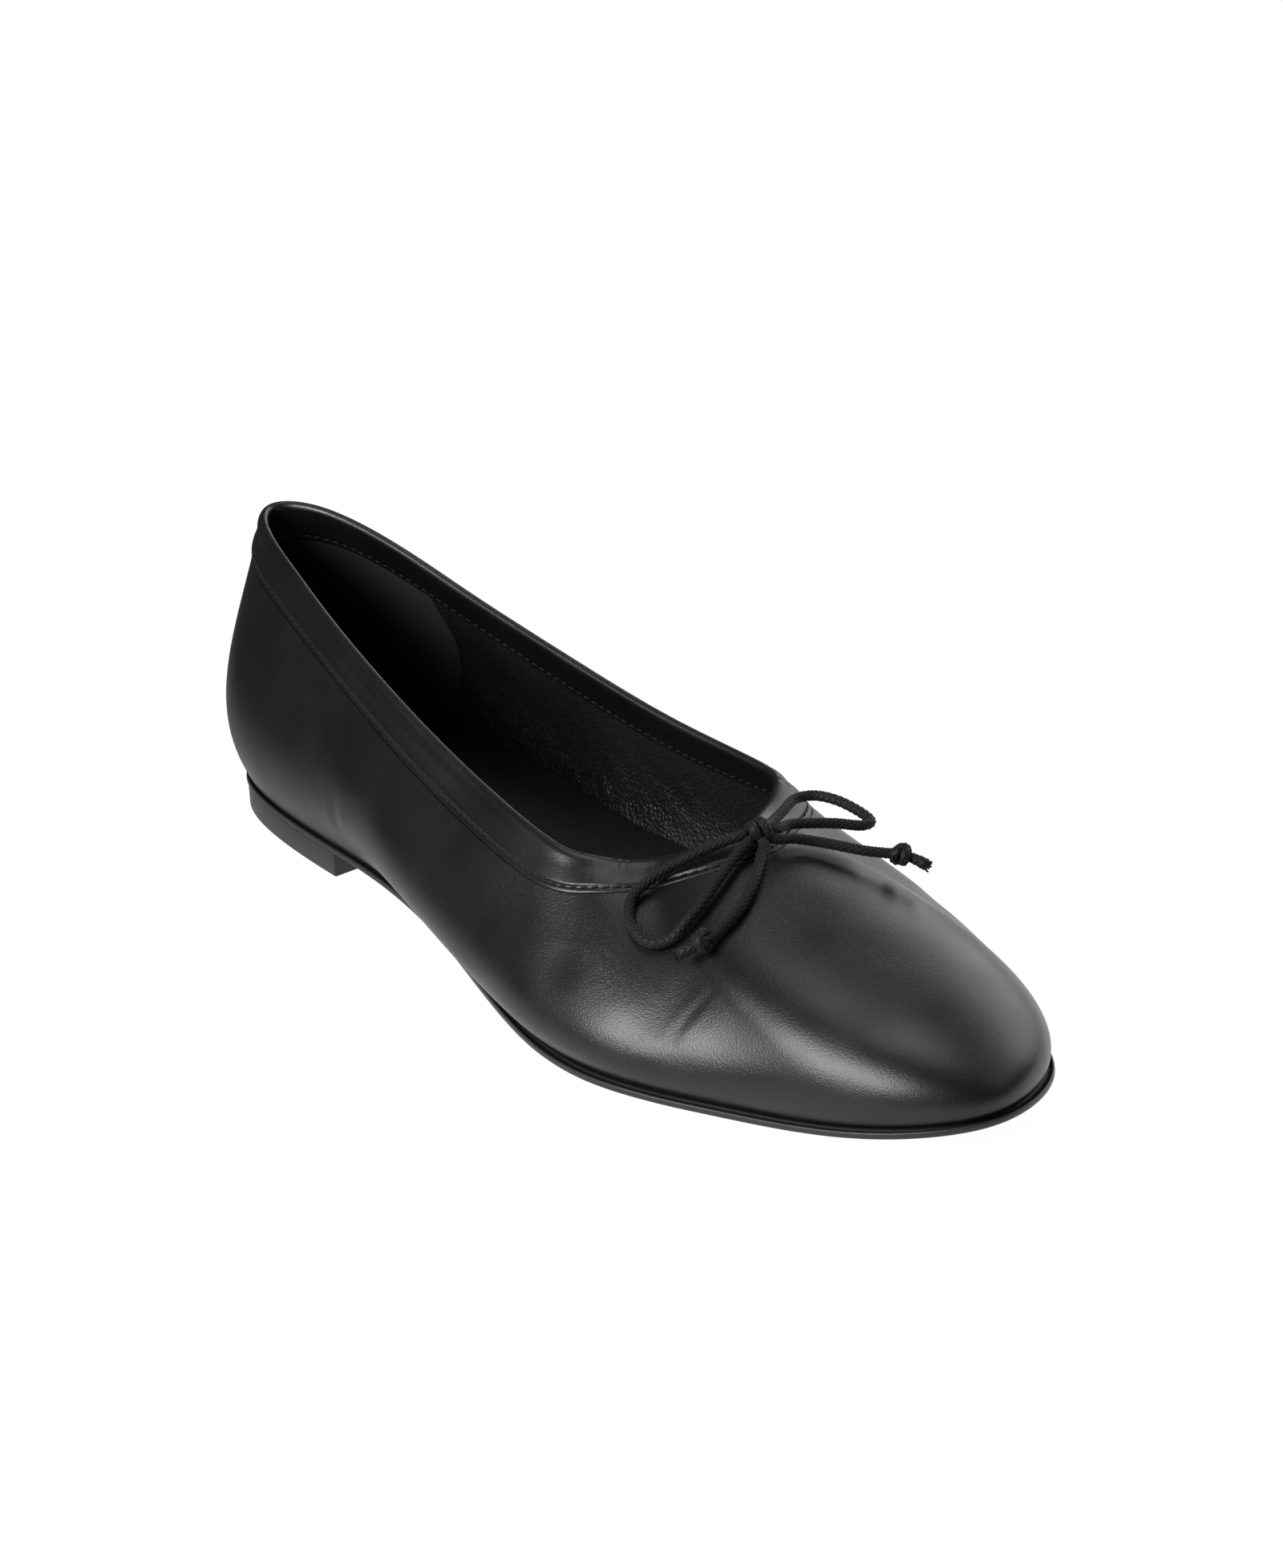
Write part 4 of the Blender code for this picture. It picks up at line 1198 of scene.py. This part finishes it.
def makeGrip(s):
    surface = LastSurface(s["around"])
    top = surface.belowRim(s["top"])
    whole = surface.rimRun[-1]
    shares, reaches = np.array(s["frontEdge"]).T
    columns = np.linspace(-1, 1, s["columns"])
    thick = s["thick"] * np.clip(1 - np.abs(columns) ** s["pared"], 0, 1)
    front, behind = [], []
    for v in np.linspace(s["foot"], 1, s["rows"]):
        share = top * v
        reach = np.interp(v * s["edgeTop"], shares, reaches) * mm
        along = (columns * reach) % whole
        loops = []
        for out in (-upper["wall"] - s["off"], -upper["wall"] + s["intoWall"]):
            ring = closeLoop(surface.skin(share, out))
            loops.append(np.column_stack([np.interp(along, surface.rimRun, ring[:, k])
                                          for k in range(3)]))
        near, wall = loops
        inward = (near - wall) / np.linalg.norm(near - wall, axis=1)[:, None]
        front.append(near + inward * thick[:, None])
        behind.append(near)
    places = toWorld(np.array(front + behind[::-1]))
    mesh = bmesh.new()
    layGrid(mesh, places, wrapDown=True)
    bmesh.ops.remove_doubles(mesh, verts=mesh.verts, dist=1e-6)
    finishPiece("heelGripSuede", mesh, [suede], sharp=60)


makeGrip(grip)
print("lining set")


# Pale floor and soft studio light.
studio = dict(
    floorHalf=4.0,
    floorColour="#4a4a4a",
    floorGlow=0.98,          # its own light makes it white, as photographed
    poolCentre=(0.28, -0.36, 0),
    poolReach=(0.36, 0.62),  # the shoe mirrors only a lit pool of the floor, towards the toe
    world=0.085,             # dim to the shoe, but white behind it as the floor is
    # azimuth and elevation seen from the shoe, distance, width, height, watts
    lights=dict(
        keySoftbox=(-89, 30, 0.95, 0.62, 0.48, 13.3),
        backSoftbox=(109, 20, 1.6, 1.4, 0.9, 7.8),
        fillSoftbox=(64, 40, 1.4, 1.4, 1.0, 2.6),
        topSoftbox=(146, 78, 1.6, 0.9, 0.9, 5.4),
    ),
    aim=(0, -0.13, 0.03),
)


def makeFloor(s):
    mesh = bmesh.new()
    bmesh.ops.create_grid(mesh, x_segments=1, y_segments=1, size=s["floorHalf"])
    data = bpy.data.meshes.new("floor")
    mesh.to_mesh(data)
    mesh.free()
    # Uncoated paper: matt, with a glow of its own in place of the light that a studio throws back.
    material, tree, shader, place = newMaterial("paperFloor")
    shader.inputs["Base Color"].default_value = hexToLinear(s["floorColour"])
    shader.inputs["Roughness"].default_value = 0.9
    shader.inputs["Specular IOR Level"].default_value = 0.1
    shader.inputs["Emission Color"].default_value = (1, 1, 1, 1)
    far = addNode(tree, "ShaderNodeVectorMath", settings={"operation": "DISTANCE"}, links={0: place},
                  values={1: s["poolCentre"]}).outputs["Value"]
    pool = addNode(tree, "ShaderNodeMapRange", settings={"interpolation_type": "SMOOTHSTEP"},
                   links={"Value": far},
                   values={"From Min": s["poolReach"][0], "From Max": s["poolReach"][1],
                           "To Min": s["floorGlow"], "To Max": 0.0}).outputs["Result"]
    direct = addNode(tree, "ShaderNodeLightPath").outputs["Is Camera Ray"]
    seen = addNode(tree, "ShaderNodeMath", settings={"operation": "MULTIPLY"}, links={0: direct},
                   values={1: s["floorGlow"]}).outputs["Value"]
    glow = addNode(tree, "ShaderNodeMath", settings={"operation": "MAXIMUM"}, links={0: pool, 1: seen})
    tree.links.new(glow.outputs["Value"], shader.inputs["Emission Strength"])
    data.materials.append(material)
    floor = bpy.data.objects.new("floor", data)
    bpy.context.scene.collection.objects.link(floor)


def makeWorld(s):
    world = bpy.data.worlds.new("studioAir")
    world.use_nodes = True
    air = world.node_tree
    direct = addNode(air, "ShaderNodeLightPath").outputs["Is Camera Ray"]
    seen = addNode(air, "ShaderNodeMath", settings={"operation": "MAXIMUM"}, links={0: direct},
                   values={1: s["world"]})
    air.nodes["Background"].inputs["Color"].default_value = (1, 1, 1, 1)
    air.links.new(seen.outputs["Value"], air.nodes["Background"].inputs["Strength"])
    bpy.context.scene.world = world
    bpy.context.scene.view_settings.view_transform = "Standard"


def makeLights(s):
    aim = Vector(s["aim"])
    for name, (azimuth, elevation, distance, width, height, watts) in s["lights"].items():
        a, e = math.radians(azimuth), math.radians(elevation)
        way = Vector((math.sin(a) * math.cos(e), -math.cos(a) * math.cos(e), math.sin(e)))
        lamp = bpy.data.lights.new(name, "AREA")
        lamp.shape = "RECTANGLE"
        lamp.size, lamp.size_y = width, height
        lamp.energy = watts
        light = bpy.data.objects.new(name, lamp)
        light.location = aim + way * distance
        light.rotation_mode = "QUATERNION"
        light.rotation_quaternion = way.to_track_quat("Z", "Y")
        bpy.context.scene.collection.objects.link(light)


makeFloor(studio)
makeWorld(studio)
makeLights(studio)
print("studio lit")
